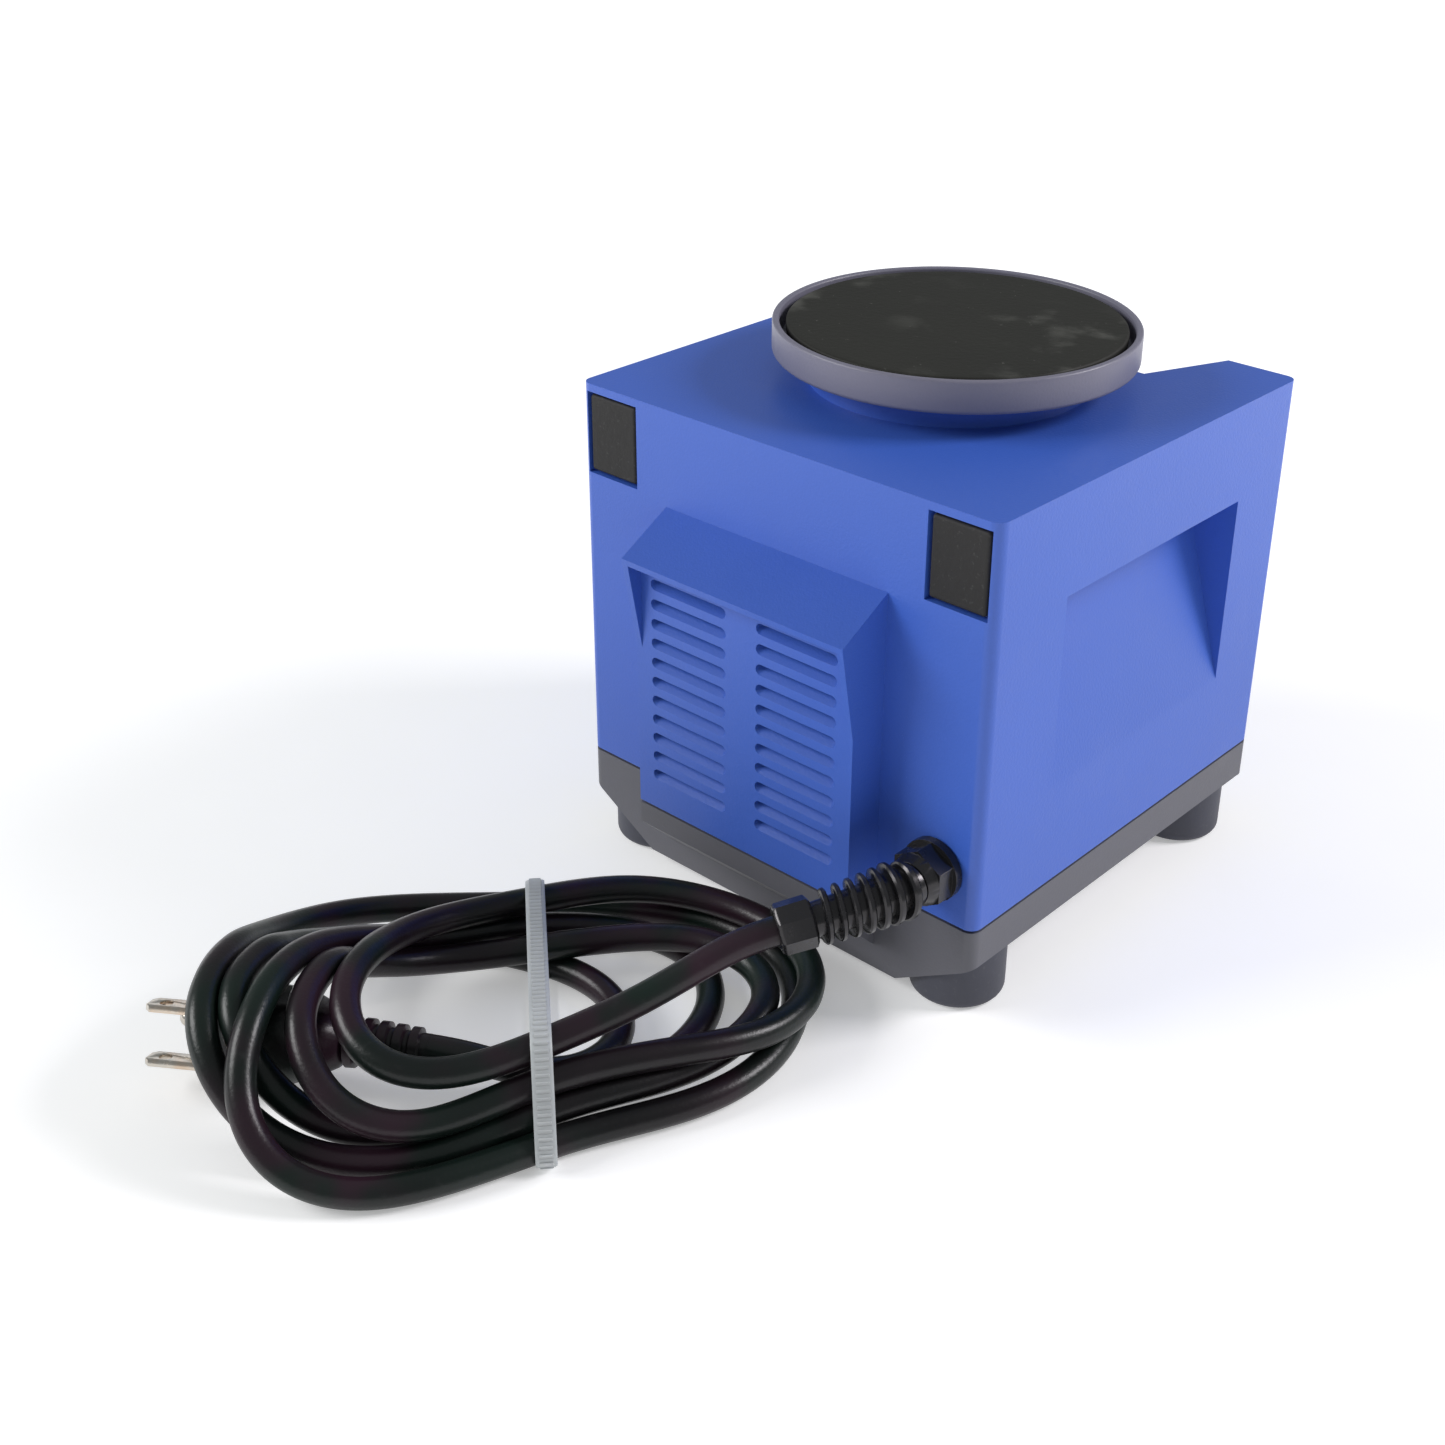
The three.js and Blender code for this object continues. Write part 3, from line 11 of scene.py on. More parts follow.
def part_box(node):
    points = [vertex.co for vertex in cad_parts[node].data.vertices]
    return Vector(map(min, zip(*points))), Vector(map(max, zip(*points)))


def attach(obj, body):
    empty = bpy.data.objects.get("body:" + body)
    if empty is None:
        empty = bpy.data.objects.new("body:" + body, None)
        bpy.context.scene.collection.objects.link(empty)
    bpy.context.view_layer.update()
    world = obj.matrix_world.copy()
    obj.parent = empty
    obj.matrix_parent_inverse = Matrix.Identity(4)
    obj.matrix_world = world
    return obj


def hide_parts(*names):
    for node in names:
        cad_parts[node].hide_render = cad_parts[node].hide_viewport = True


bl_info = {
    "name": "Vortex mixer",
    "version": (1, 0, 0),
    "blender": (4, 5, 0),
    "location": "3D View > Sidebar > Mixer",
    "description": "Builds a small bench vortex mixer piece by piece round its packed solids",
    "category": "Object",
}

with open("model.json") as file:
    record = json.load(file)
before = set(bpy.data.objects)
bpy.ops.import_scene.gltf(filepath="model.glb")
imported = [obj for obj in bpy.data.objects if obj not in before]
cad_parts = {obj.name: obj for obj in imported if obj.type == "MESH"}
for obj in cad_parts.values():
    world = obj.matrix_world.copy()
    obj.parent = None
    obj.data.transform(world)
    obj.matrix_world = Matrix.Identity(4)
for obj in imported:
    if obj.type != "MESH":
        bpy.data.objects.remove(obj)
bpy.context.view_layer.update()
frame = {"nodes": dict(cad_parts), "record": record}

MM = 0.001
BODY_CHASSIS, BODY_PLATFORM, BODY_KNOB, BODY_ROCKER = "chassis", "platform", "knob", "rocker"


# ---------------------------------------------------------------- places taken from the frame
def middle(node):
    """Middle of a CAD node's box, in millimetres."""
    low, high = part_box(node)
    return (low + high) / 2 / MM


def ends(node):
    """Lowest and highest corner of a CAD node's box, in millimetres."""
    low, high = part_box(node)
    return low / MM, high / MM


REAR_Y = ends("rear_pad_left")[1].y + 0.3  # rear face of the casing
GLAND = Vector((-53.1, REAR_Y, 41.3))  # where the lead leaves the casing
GLAND_LENGTH = 10
BOOT_STRAIGHT = 8
BOOT_START = GLAND + Vector((0, GLAND_LENGTH + 0.3, 0))
BOOT_BEND = BOOT_START + Vector((0, BOOT_STRAIGHT, 0))
BOOT_END = GLAND + Vector((15, 39.5, -5))

# The lead from the boot to the hank, in metres
LEAD_POINTS = [
    (-0.0378, 0.0961, 0.0362), (-0.035, 0.1001, 0.0352), (-0.0318, 0.1055, 0.033),
    (-0.0284, 0.1118, 0.0296), (-0.0252, 0.1184, 0.026), (-0.022, 0.126, 0.023),
]

HANK_MIDDLE = (14.4, 135.0)
HANK_TURN = math.radians(49.5)
TIE_ALONG = -12.0
PLUG_FACE = Vector((51.6, 185, 0))
PLUG_TURN = math.radians(34.5)
PLUG_ROLL = math.radians(110)
PLUG_MIDDLE_Z = 11.8
PLUG_LENGTH = 29.0
PLUG_TAIL = 19.5
# What the lead lies on: from, to, half width and top of the plug's body and of its tail
PLUG_STEPS = (
    (-PLUG_LENGTH, 0, 13, 23.6), (-PLUG_LENGTH - PLUG_TAIL, -PLUG_LENGTH, 6, 17.8))
TOOTH_ROOM = 0.45  # kept free under the tie's band for its teeth
PANEL_LIFT = 2.3  # from the knob's joint out to where its turned parts and the scale begin

# The camera's direction in degrees, its place in millimetres and its lens
CAMERA_AZIMUTH, CAMERA_ELEVATION, CAMERA_ROLL = 221.36, 26.71, 0.91
CAMERA_AIM = Vector((0, -7.85, 27.5))
CAMERA_ASIDE, CAMERA_LIFT, CAMERA_DISTANCE = -39.04, 32.49, 543.21
SENSOR_WIDTH, FOCAL_LENGTH = 36, 48.83643
LENS_SHIFT = (-0.0416125, -0.0689758)

# Each end of the hank: places that a half turn passes, as along, across and height in the hank's frame
HANK_ENDS = [
    [(-16, 26, 22), (-2, 31.5, 20), (13, 36.5, 19), (27, 33.5, 21), (34, 22, 24), (34, 8, 24),
     (28, -9, 21.5), (15, -24, 18.5)],
    [(-3, -30, 16.5), (-20, -37, 15), (-36, -41, 13), (-52, -37, 10.5), (-66, -26, 9.6),
     (-76, -11, 9.4), (-74, 5, 9.4), (-63, 17.5, 9.6), (-46, 24.5, 11), (-26, 30, 14)],
    [(-8, 34, 14.5), (5, 39, 10), (20, 43, 10), (34, 41, 15), (42, 32, 21), (43, 18, 22.5),
     (37, 1, 20), (26, -13, 13), (12, -20, 10)],
    [(-10, -20, 9.8), (-30, -23.5, 9.4), (-48, -22, 9.4), (-60, -12, 9.4), (-66, 0, 9.4),
     (-61, 12, 9.4), (-51, 22, 9.4), (-35, 29, 9.4), (-15, 33.5, 9)],
    [(0, 40, 7), (15, 44.5, 4), (31, 43.5, 3.1), (44, 39, 4), (54, 35, 9), (61, 30, 18),
     (65, 22, 25), (64, 9, 27), (60, -8, 23), (52, -29, 15), (40, -44, 9), (22, -50, 5), (4, -50.5, 3.1)],
    [(-16, -48, 3.1), (-34, -45, 3.1), (-51, -39, 3.1), (-65, -28, 3.1), (-72, -14, 3.1),
     (-71, 1, 3.1), (-66, 14, 3.1), (-56, 26, 3.1), (-44, 33, 3.1), (-28, 36.5, 3.1)],
    [(-12, 39.5, 3.5), (2, 45, 3.1), (15, 52, 3.1), (29, 54, 3.1), (42, 51, 4.5), (52, 45, 10),
     (56, 36, 18), (55, 25, 26), (50, 12, 30), (42, -2, 27.5), (32, -15, 20), (20, -23, 14), (5, -28, 10)],
    [(-12, -33, 8), (-27, -35, 5), (-40, -32, 3.5), (-49, -23, 3.5), (-52, -11, 3.5),
     (-50, 1, 3.5), (-44, 11, 3.5), (-35, 19, 3.5), (-24, 25, 3.5)],
    [(-12, 28, 3.1), (3, 31, 3.1), (18, 34, 3.1), (33, 35, 4), (45, 32, 10), (54, 26, 19),
     (58.5, 16, 26), (56, 4, 26), (50, -9, 21), (41, -23, 14), (28, -34, 8), (12, -35, 4)],
    [(-3, -28, 3.1), (-15, -22, 3.1), (-25, -13, 3.1), (-30, 0, 3.1), (-27, 13, 3.1),
     (-16, 20, 3.1), (-2, 21.5, 6)],
]


# ---------------------------------------------------------------- settings
class CasingSettings(bpy.types.PropertyGroup):
    """Moulded housing and tray."""

    edge: FloatProperty(
        name="Housing edge", description="Rounding of the housing's edges",
        default=0.0007, min=0.0001, max=0.002, unit="LENGTH")
    tray_edge: FloatProperty(
        name="Tray edge", description="Rounding of the tray's edges",
        default=0.0005, min=0.0001, max=0.002, unit="LENGTH")
    pad_edge: FloatProperty(
        name="Pad edge", description="Rounding of the rear pads' edges",
        default=0.0011, min=0.0001, max=0.003, unit="LENGTH")
    housing_colour: FloatVectorProperty(
        name="Housing colour", description="Moulded blue of the housing",
        default=(0.046, 0.122, 0.53), min=0, max=1, subtype="COLOR")
    tray_colour: FloatVectorProperty(
        name="Tray colour", description="Moulded grey of the base tray",
        default=(0.112, 0.112, 0.130), min=0, max=1, subtype="COLOR")
    # Painted shade: the feet's grey is darkened to stand for the shade on their sides that face away from the
    # lights.
    foot_colour_with_painted_shade: FloatVectorProperty(
        name="Foot colour with painted shade", description="Grey rubber of the feet, darkened as painted shade",
        default=(0.070, 0.072, 0.092), min=0, max=1, subtype="COLOR")


class PlatformSettings(bpy.types.PropertyGroup):
    """Dish and mat."""

    rim_edge: FloatProperty(
        name="Rim edge", description="Rounding of the dish's rim",
        default=0.0007, min=0.0001, max=0.0009, unit="LENGTH")
    sides: IntProperty(
        name="Sides", description="Facets round the dish", default=160, min=48, max=256)
    rim_colour: FloatVectorProperty(
        name="Rim colour", description="Light grey of the dish",
        default=(0.175, 0.170, 0.225), min=0, max=1, subtype="COLOR")
    mat_colour: FloatVectorProperty(
        name="Mat colour", description="Black rubber of the mat",
        default=(0.017, 0.017, 0.014), min=0, max=1, subtype="COLOR")


class ControlSettings(bpy.types.PropertyGroup):
    """Knob, switch and scale on the front."""

    flutes: IntProperty(
        name="Flutes", description="Grip flutes round the speed knob", default=24, min=8, max=60)
    flute_radius: FloatProperty(
        name="Flute radius", description="Radius of each grip flute",
        default=0.0006, min=0.0002, max=0.002, unit="LENGTH")
    marks: IntProperty(
        name="Scale marks", description="Marks on the speed scale", default=11, min=3, max=31)


class CordSettings(bpy.types.PropertyGroup):
    """Mains lead, tie and plug."""

    diameter: FloatProperty(
        name="Cord diameter", description="Outside diameter of the lead's sheath",
        default=0.007, min=0.004, max=0.01, unit="LENGTH")
    tooth_pitch: FloatProperty(
        name="Tooth pitch", description="Distance between the tie's teeth",
        default=0.0017, min=0.0006, max=0.004, unit="LENGTH")
    boot_ribs: IntProperty(
        name="Boot ribs", description="Turns of the strain relief's rib", default=7, min=3, max=12)
    sheath_colour: FloatVectorProperty(
        name="Sheath colour", description="Black of the lead",
        default=(0.004, 0.004, 0.0045), min=0, max=1, subtype="COLOR")


# ---------------------------------------------------------------- shader sums
class Value:
    """A node's output. Sums on it add Math nodes, so a shader formula reads as plain Python."""

    def __init__(self, shader, socket):
        self.shader = shader
        self.socket = socket

    def _math(self, operation, first, second):
        return self.shader.node(
            "ShaderNodeMath", {"operation": operation}, {0: first, 1: second})

    def __add__(self, other):
        return self._math("ADD", self, other)

    def __radd__(self, other):
        return self._math("ADD", other, self)

    def __sub__(self, other):
        return self._math("SUBTRACT", self, other)

    def __rsub__(self, other):
        return self._math("SUBTRACT", other, self)

    def __mul__(self, other):
        return self._math("MULTIPLY", self, other)

    def __rmul__(self, other):
        return self._math("MULTIPLY", other, self)

    def over(self, low, high):
        """0 below low and 1 above high, with a smooth rise between."""
        return self.shader.node(
            "ShaderNodeMapRange", {"interpolation_type": "SMOOTHSTEP"},
            {"Value": self, "From Min": low, "From Max": high})


class Shader:
    """A procedural material under construction."""

    def __init__(self, name):
        self.material = bpy.data.materials.new(name)
        self.material.use_nodes = True
        self.tree = self.material.node_tree
        self.tree.nodes.clear()
        self.place = self.node("ShaderNodeTexCoord", output="Object")

    def node(self, kind, settings=None, inputs=None, output=0):
        """Adds a node: its settings first, then the values or links of its sockets."""
        node = self.tree.nodes.new(kind)
        for key, value in (settings or {}).items():
            if key == "stops":
                ramp = node.color_ramp
                while len(ramp.elements) < len(value):
                    ramp.elements.new(0.5)
                for element, (position, colour) in zip(ramp.elements, value):
                    element.position = position
                    element.color = colour
            else:
                setattr(node, key, value)
        for key, value in (inputs or {}).items():
            socket = node.inputs[key]
            if isinstance(value, Value):
                self.tree.links.new(value.socket, socket)
            else:
                socket.default_value = value
        return Value(self, node.outputs[output])

    def noise(self, scale, detail=2.0, stretch=(1, 1, 1)):
        """Noise over the piece, stretched if asked."""
        place = self.place
        if stretch != (1, 1, 1):
            place = self.node("ShaderNodeMapping", None, {"Vector": place, "Scale": stretch})
        return self.node("ShaderNodeTexNoise", None, {
            "Vector": place, "Scale": scale, "Detail": detail, "Roughness": 0.55})

    def mix(self, share, first, second):
        """Colour mix from the first to the second."""
        return self.node("ShaderNodeMix", {"data_type": "RGBA"}, {
            "Factor": share, 6: first, 7: second}, output=2)

    def bump(self, height, depth, strength=1.0):
        """Surface relief, depth in metres."""
        return self.node("ShaderNodeBump", None, {
            "Height": height, "Distance": depth, "Strength": strength})

    def finish(self, varied, fixed=None):
        """Closes the material: what varies over the surface, then what is the same all over."""
        surface = self.node("ShaderNodeBsdfPrincipled", None, {**(fixed or {}), **varied})
        self.node_output(surface)
        return self.material

    def node_output(self, surface):
        """Joins the surface to the material's output."""
        out = self.tree.nodes.new("ShaderNodeOutputMaterial")
        self.tree.links.new(surface.socket, out.inputs["Surface"])


def rgba(colour, factor=1.0):
    """A colour, made lighter or darker, with full cover."""
    return tuple(min(1.0, c * factor) for c in colour[:3]) + (1.0,)


# ---------------------------------------------------------------- materials
def moulded_plastic(name, colour, roughness, depth=0.00006, shade=0.88, grain=1500):
    """Satin moulding with a fine spark-eroded grain and slow changes of shade."""
    shader = Shader(name)
    slow = shader.noise(14, 3)
    fine = shader.noise(grain, 2)
    handling = shader.noise(55, 4).over(0.5, 0.75)
    base = shader.mix(slow, rgba(colour, 1.04), rgba(colour, shade))
    return shader.finish({
        "Base Color": shader.mix(fine * 0.22, base, rgba(colour, 1.35)),
        "Roughness": roughness + (fine - 0.5) * 0.12 - handling * 0.05,
        "Normal": shader.bump(fine, depth),
    }, {"IOR": 1.5})


def moulded_rubber(name, colour, roughness, depth=0.0001, dust=0.12, grain=900):
    """Matt rubber with a pebbled skin and a little settled dust."""
    shader = Shader(name)
    pebble = shader.noise(grain, 3)
    slow = shader.noise(40, 4)
    base = shader.mix(slow, rgba(colour, 1.15), rgba(colour, 0.8))
    dusty = shader.noise(700, 3).over(0.58, 0.8) * dust
    return shader.finish({
        "Base Color": shader.mix(dusty, base, (0.32, 0.32, 0.31, 1)),
        "Roughness": roughness + (slow - 0.5) * 0.14,
        "Normal": shader.bump(pebble, depth),
    }, {"Specular IOR Level": 0.3})


def mat_rubber(name, colour):
    """The mat's matt rubber, rubbed pale in places and specked where tubes have stood."""
    shader = Shader(name)
    pebble = shader.noise(620, 4)
    slow = shader.noise(26, 5)
    worn = shader.noise(60, 6).over(0.52, 0.70) * shader.noise(14, 2).over(0.46, 0.62)
    specks = shader.noise(900, 2).over(0.70, 0.76) * shader.noise(70, 2).over(0.42, 0.62)
    base = shader.mix(slow, rgba(colour, 0.75), rgba(colour, 1.5))
    marked = shader.mix(worn * 0.30, base, (0.20, 0.20, 0.18, 1))
    return shader.finish({
        "Base Color": shader.mix(specks * 0.45, marked, (0.22, 0.22, 0.2, 1)),
        "Roughness": 0.62 + (slow - 0.5) * 0.2 - worn * 0.08,
        "Normal": shader.bump(pebble + worn * 0.4, 0.00012),
    }, {"Specular IOR Level": 0.28})


def glossy_nylon(name, colour):
    """Glossy black moulding with faint flow marks and fine rubs."""
    shader = Shader(name)
    flow = shader.noise(90, 3, (1, 1, 0.3))
    rubs = shader.noise(420, 5).over(0.55, 0.8)
    return shader.finish({
        "Base Color": shader.mix(flow, rgba(colour, 0.8), rgba(colour, 1.4)),
        "Roughness": 0.2 + rubs * 0.12 + flow * 0.06,
        "Normal": shader.bump(flow * 0.7 + rubs * 0.2, 0.00006),
    }, {"IOR": 1.53, "Specular Tint": (1.0, 0.96, 0.99, 1)})


def cord_sheath(name, colour):
    """Satin vinyl sheath: soft sheen, slow rose and green base-colour patches that are painted highlight
    tints, rubs from handling.
    """
    shader = Shader(name)
    painted_highlight_tint = shader.noise(38, 2)
    rubs = shader.noise(260, 5).over(0.6, 0.82)
    fine = shader.noise(1400, 2)
    # Painted highlights: rose and green patches in the base colour stand for the tinted highlights on the
    # sheath.
    black = shader.mix(painted_highlight_tint.over(0.40, 0.60), (0.026, 0.011, 0.019, 1), (0.006, 0.015, 0.011, 1))
    base = shader.mix(shader.noise(16, 2).over(0.3, 0.6), rgba(colour), black)
    return shader.finish({
        "Base Color": shader.mix(rubs * 0.10, base, (0.09, 0.085, 0.09, 1)),
        "Roughness": 0.32 + (fine - 0.5) * 0.1 + rubs * 0.08,
        "Normal": shader.bump(fine * 0.5 + shader.noise(180, 3) * 0.8, 0.00009),
    }, {"IOR": 1.5, "Specular IOR Level": 0.36})


def milky_nylon(name):
    """Translucent natural nylon."""
    shader = Shader(name)
    cloud = shader.noise(160, 3)
    return shader.finish({
        "Base Color": shader.mix(cloud, (0.44, 0.46, 0.47, 1), (0.55, 0.575, 0.585, 1)),
        "Roughness": 0.34 + cloud * 0.12,
        "Normal": shader.bump(shader.noise(700, 2), 0.00004),
    }, {"Subsurface Weight": 0.35, "Subsurface Radius": (0.9, 0.95, 1.0),
        "Subsurface Scale": 0.0015, "IOR": 1.53})


def metal(name, colour, roughness, stretch=(1, 1, 1), scale=700, depth=0.00003):
    """Metal with fine tool marks along one way and faint stains."""
    shader = Shader(name)
    marks = shader.noise(scale, 3, stretch)
    stain = shader.noise(120, 4)
    return shader.finish({
        "Base Color": shader.mix(stain, rgba(colour, 1.05), rgba(colour, 0.72)),
        "Roughness": roughness + (marks - 0.5) * 0.2,
        "Normal": shader.bump(marks, depth),
    }, {"Metallic": 1.0})


def plated_contacts(name):
    """Nickel-plated brass with a warm cast where the plating is thin."""
    shader = Shader(name)
    thin = shader.noise(210, 4)
    marks = shader.noise(900, 3, (1, 0.2, 1))
    return shader.finish({
        "Base Color": shader.mix(
            thin.over(0.4, 0.68), (0.60, 0.56, 0.50, 1), (0.62, 0.49, 0.38, 1)),
        "Roughness": 0.24 + (marks - 0.5) * 0.24,
        "Normal": shader.bump(marks, 0.00003),
    }, {"Metallic": 1.0})


def circuit_board(name):
    """Dark blue board with paler tracks."""
    shader = Shader(name)
    tracks = shader.node("ShaderNodeTexBrick", {"offset": 0.37}, {
        "Vector": shader.place, "Scale": 95.0, "Mortar Size": 0.03,
        "Color1": (0, 0, 0, 1), "Color2": (0, 0, 0, 1), "Mortar": (1, 1, 1, 1)})
    return shader.finish({
        "Base Color": shader.mix(tracks, (0.006, 0.022, 0.05, 1), (0.012, 0.035, 0.075, 1)),
        "Roughness": 0.4 + tracks * 0.1,
        "Normal": shader.bump(tracks, 0.00004),
    })


def lens_plastic(name):
    """Tinted green lens."""
    shader = Shader(name)
    swirl = shader.noise(600, 2)
    return shader.finish({
        "Base Color": shader.mix(swirl, (0.08, 0.62, 0.20, 1), (0.13, 0.75, 0.28, 1)),
        "Roughness": 0.08 + swirl * 0.06,
    }, {"Transmission Weight": 0.35, "IOR": 1.49})


def white_print(name):
    """Matt white scale marks."""
    shader = Shader(name)
    wear = shader.noise(800, 3)
    return shader.finish({
        "Base Color": shader.mix(wear, (0.72, 0.72, 0.72, 1), (0.60, 0.60, 0.61, 1)),
        "Roughness": 0.5 + wear * 0.1,
    })


class Finishes:
    """All materials, made once and kept by their plain names."""

    made = {}

    @classmethod
    def make(cls, scene):
        casing, platform = scene.mixer_casing, scene.mixer_platform
        sheath = scene.mixer_cord.sheath_colour
        black = (0.0095, 0.0095, 0.0105)
        cls.made = {
            "blue": moulded_plastic("housing blue", casing.housing_colour, 0.40),
            "grey": moulded_plastic("tray grey", casing.tray_colour, 0.50, shade=0.92),
            # The feet's colour holds painted shade, darkened for their sides that face away from the lights.
            "foot": moulded_rubber("foot rubber with painted shade", casing.foot_colour_with_painted_shade, 0.56, 0.00005, 0.08),
            "pad": moulded_rubber("pad rubber", (0.022, 0.021, 0.021), 0.62, 0.00016, 0.10, 520),
            "seal": moulded_rubber("seal rubber", (0.02, 0.02, 0.02), 0.7),
            "rim": moulded_plastic("rim grey", platform.rim_colour, 0.42, 0.00005, 0.9),
            "mat": mat_rubber("mat rubber", platform.mat_colour),
            "gloss": glossy_nylon("gloss black", black),
            "satin": moulded_plastic("satin black", (0.013, 0.013, 0.014), 0.4, 0.00004, 0.8),
            "sheath": cord_sheath("cord sheath", sheath),
            "nylon": milky_nylon("natural nylon"),
            "contact": plated_contacts("plated contacts"),
            "zinc": metal("zinc-plated steel", (0.60, 0.61, 0.62), 0.34),
            "shaft": metal("ground steel", (0.62, 0.63, 0.65), 0.24, (1, 1, 0.1)),
            "iron": metal("cast iron", (0.16, 0.16, 0.165), 0.62, scale=300, depth=0.0002),
            "alu": metal("turned aluminium", (0.72, 0.73, 0.75), 0.34, (0.2, 0.2, 1)),
            "copper": metal("wound copper", (0.62, 0.27, 0.12), 0.4, (0.15, 0.15, 1), 1200, 0.0001),
            "board": circuit_board("circuit board"),
            "lens": lens_plastic("green lens"),
            "print": white_print("white print"),
        }


def paint(target, finish):
    """Gives a mesh or object's data one material and nothing else."""
    data = target.data if isinstance(target, bpy.types.Object) else target
    data.materials.clear()
    data.materials.append(Finishes.made[finish])


# ---------------------------------------------------------------- mesh helpers
def new_object(name, data):
    """An object in the scene for a mesh, curve, lamp or camera."""
    created = bpy.data.objects.new(name, data)
    bpy.context.scene.collection.objects.link(created)
    return created


def mesh_from(name, points, faces):
    """A mesh from points in millimetres."""
    mesh = bpy.data.meshes.new(name)
    mesh.from_pydata([tuple(Vector(p) * MM) for p in points], [], faces)
    mesh.validate()
    return mesh


def tidy_mesh(mesh, sharp=30.0):
    """Merges doubles, turns faces outwards and shades smooth except at real edges."""
    shape = bmesh.new()
    shape.from_mesh(mesh)
    bmesh.ops.remove_doubles(shape, verts=shape.verts, dist=1e-6)
    bmesh.ops.recalc_face_normals(shape, faces=shape.faces)
    shape.to_mesh(mesh)
    shape.free()
    mesh.shade_smooth()
    mesh.set_sharp_from_angle(angle=math.radians(sharp))
    return mesh


def join_meshes(name, meshes):
    """One mesh from several, which are used up."""
    shape = bmesh.new()
    for mesh in meshes:
        shape.from_mesh(mesh)
        bpy.data.meshes.remove(mesh)
    joined = bpy.data.meshes.new(name)
    shape.to_mesh(joined)
    shape.free()
    return joined


def baked(source, name):
    """The evaluated shape of an object as a plain mesh; the object is used up."""
    graph = bpy.context.evaluated_depsgraph_get()
    mesh = bpy.data.meshes.new_from_object(source.evaluated_get(graph))
    source.modifiers.clear()
    mesh.name = name
    bpy.data.objects.remove(source)
    return mesh


def rounded_copy(node, width, segments=2, angle=30.0):
    """A CAD node's shape with its facets joined and its edges rounded, width in metres."""
    mesh = bpy.data.meshes.new(node + " rounded")
    shape = bmesh.new()
    shape.from_mesh(frame["nodes"][node].data)
    bmesh.ops.remove_doubles(shape, verts=shape.verts, dist=2e-6)
    bmesh.ops.dissolve_limit(
        shape, angle_limit=math.radians(0.6), verts=shape.verts, edges=shape.edges)
    shape.to_mesh(mesh)
    shape.free()
    work = new_object("rounding " + node, mesh)
    bevel = work.modifiers.new("Bevel", "BEVEL")
    bevel.width = width
    bevel.segments = segments
    bevel.limit_method = "ANGLE"
    bevel.angle_limit = math.radians(angle)
    bevel.use_clamp_overlap = True
    bevel.miter_outer = "MITER_ARC"
    mesh.shade_smooth()
    flat = work.modifiers.new("Flat faces", "WEIGHTED_NORMAL")
    flat.mode = "FACE_AREA"
    flat.weight = 100
    flat.thresh = 0.0001
    return baked(work, node + " rounded")


def turned(profile, sides, name="turned"):
    """Turns an outline of [radius, height] places, in millimetres, about the upright axis."""
    points, rings, faces = [], [], []
    for radius, height in profile:
        if radius < 1e-6:
            rings.append([len(points)])
            points.append((0, 0, height))
            continue
        rings.append(list(range(len(points), len(points) + sides)))
        for k in range(sides):
            turn = 2 * math.pi * k / sides
            points.append((radius * math.cos(turn), radius * math.sin(turn), height))
    closed = profile[0][0] > 1e-6 and profile[-1][0] > 1e-6
    pairs = list(zip(rings, rings[1:])) + ([(rings[-1], rings[0])] if closed else [])
    for low, high in pairs:
        for k in range(sides):
            n = (k + 1) % sides
            if len(low) == 1:
                faces.append((low[0], high[n], high[k]))
            elif len(high) == 1:
                faces.append((low[k], low[n], high[0]))
            else:
                faces.append((low[k], low[n], high[n], high[k]))
    return mesh_from(name, points, faces)


def arc(middle_radius, middle_height, radius, start, stop, steps=5):
    """Places on a small arc, for rounded edges in turned outlines; angles in degrees."""
    places = []
    for k in range(steps + 1):
        turn = math.radians(start + (stop - start) * k / steps)
        places.append((middle_radius + radius * math.cos(turn), middle_height + radius * math.sin(turn)))
    return places


def swept(sections, name="swept", caps=True):
    """Skins equal rings of points, in millimetres, one after the other, and closes both ends."""
    count = len(sections[0])
    points = [p for ring in sections for p in ring]
    faces = []
    for r in range(len(sections) - 1):
        for k in range(count):
            n = (k + 1) % count
            a, b = r * count, (r + 1) * count
            faces.append((a + k, a + n, b + n, b + k))
    if caps:
        faces.append(tuple(reversed(range(count))))
        last = (len(sections) - 1) * count
        faces.append(tuple(range(last, last + count)))
    return mesh_from(name, points, faces)


def piece(name, data, finish, body, replaced=(), sharp=30.0, tidy=True):
    """Finishes a piece: material, body and the CAD nodes that it stands for."""
    if tidy and isinstance(data, bpy.types.Mesh):
        tidy_mesh(data, sharp)
    if finish:
        paint(data, finish)
    created = new_object(name, data)
    if replaced:
        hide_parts(*replaced)
    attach(created, body)
    return created


# ---------------------------------------------------------------- repeating trees
def tree_input(tree, name, kind):
    """Adds a named input to a tree."""
    return tree.interface.new_socket(name=name, in_out="INPUT", socket_type=kind)


def set_inputs(modifier, tree, values):
    """Sets a modifier's named inputs by the identifiers of their sockets."""
    for item in tree.interface.items_tree:
        if item.item_type == "SOCKET" and item.in_out == "INPUT" and item.name in values:
            modifier[item.identifier] = values[item.name]


def start_tree(name, inputs):
    """A tree with its inputs, its output and their two end nodes."""
    tree = bpy.data.node_groups.new(name, "GeometryNodeTree")
    tree_input(tree, "Geometry", "NodeSocketGeometry")
    for label, kind in inputs:
        tree_input(tree, label, kind)
    tree.interface.new_socket(name="Geometry", in_out="OUTPUT", socket_type="NodeSocketGeometry")
    return tree, tree.nodes.new("NodeGroupInput"), tree.nodes.new("NodeGroupOutput")


def end_tree(tree, given, out, instances):
    """Makes the copies real and gives them their material."""
    real = tree.nodes.new("GeometryNodeRealizeInstances")
    coat = tree.nodes.new("GeometryNodeSetMaterial")
    tree.links.new(instances, real.inputs[0])
    tree.links.new(real.outputs[0], coat.inputs["Geometry"])
    tree.links.new(given.outputs["Material"], coat.inputs["Material"])
    tree.links.new(coat.outputs[0], out.inputs[0])


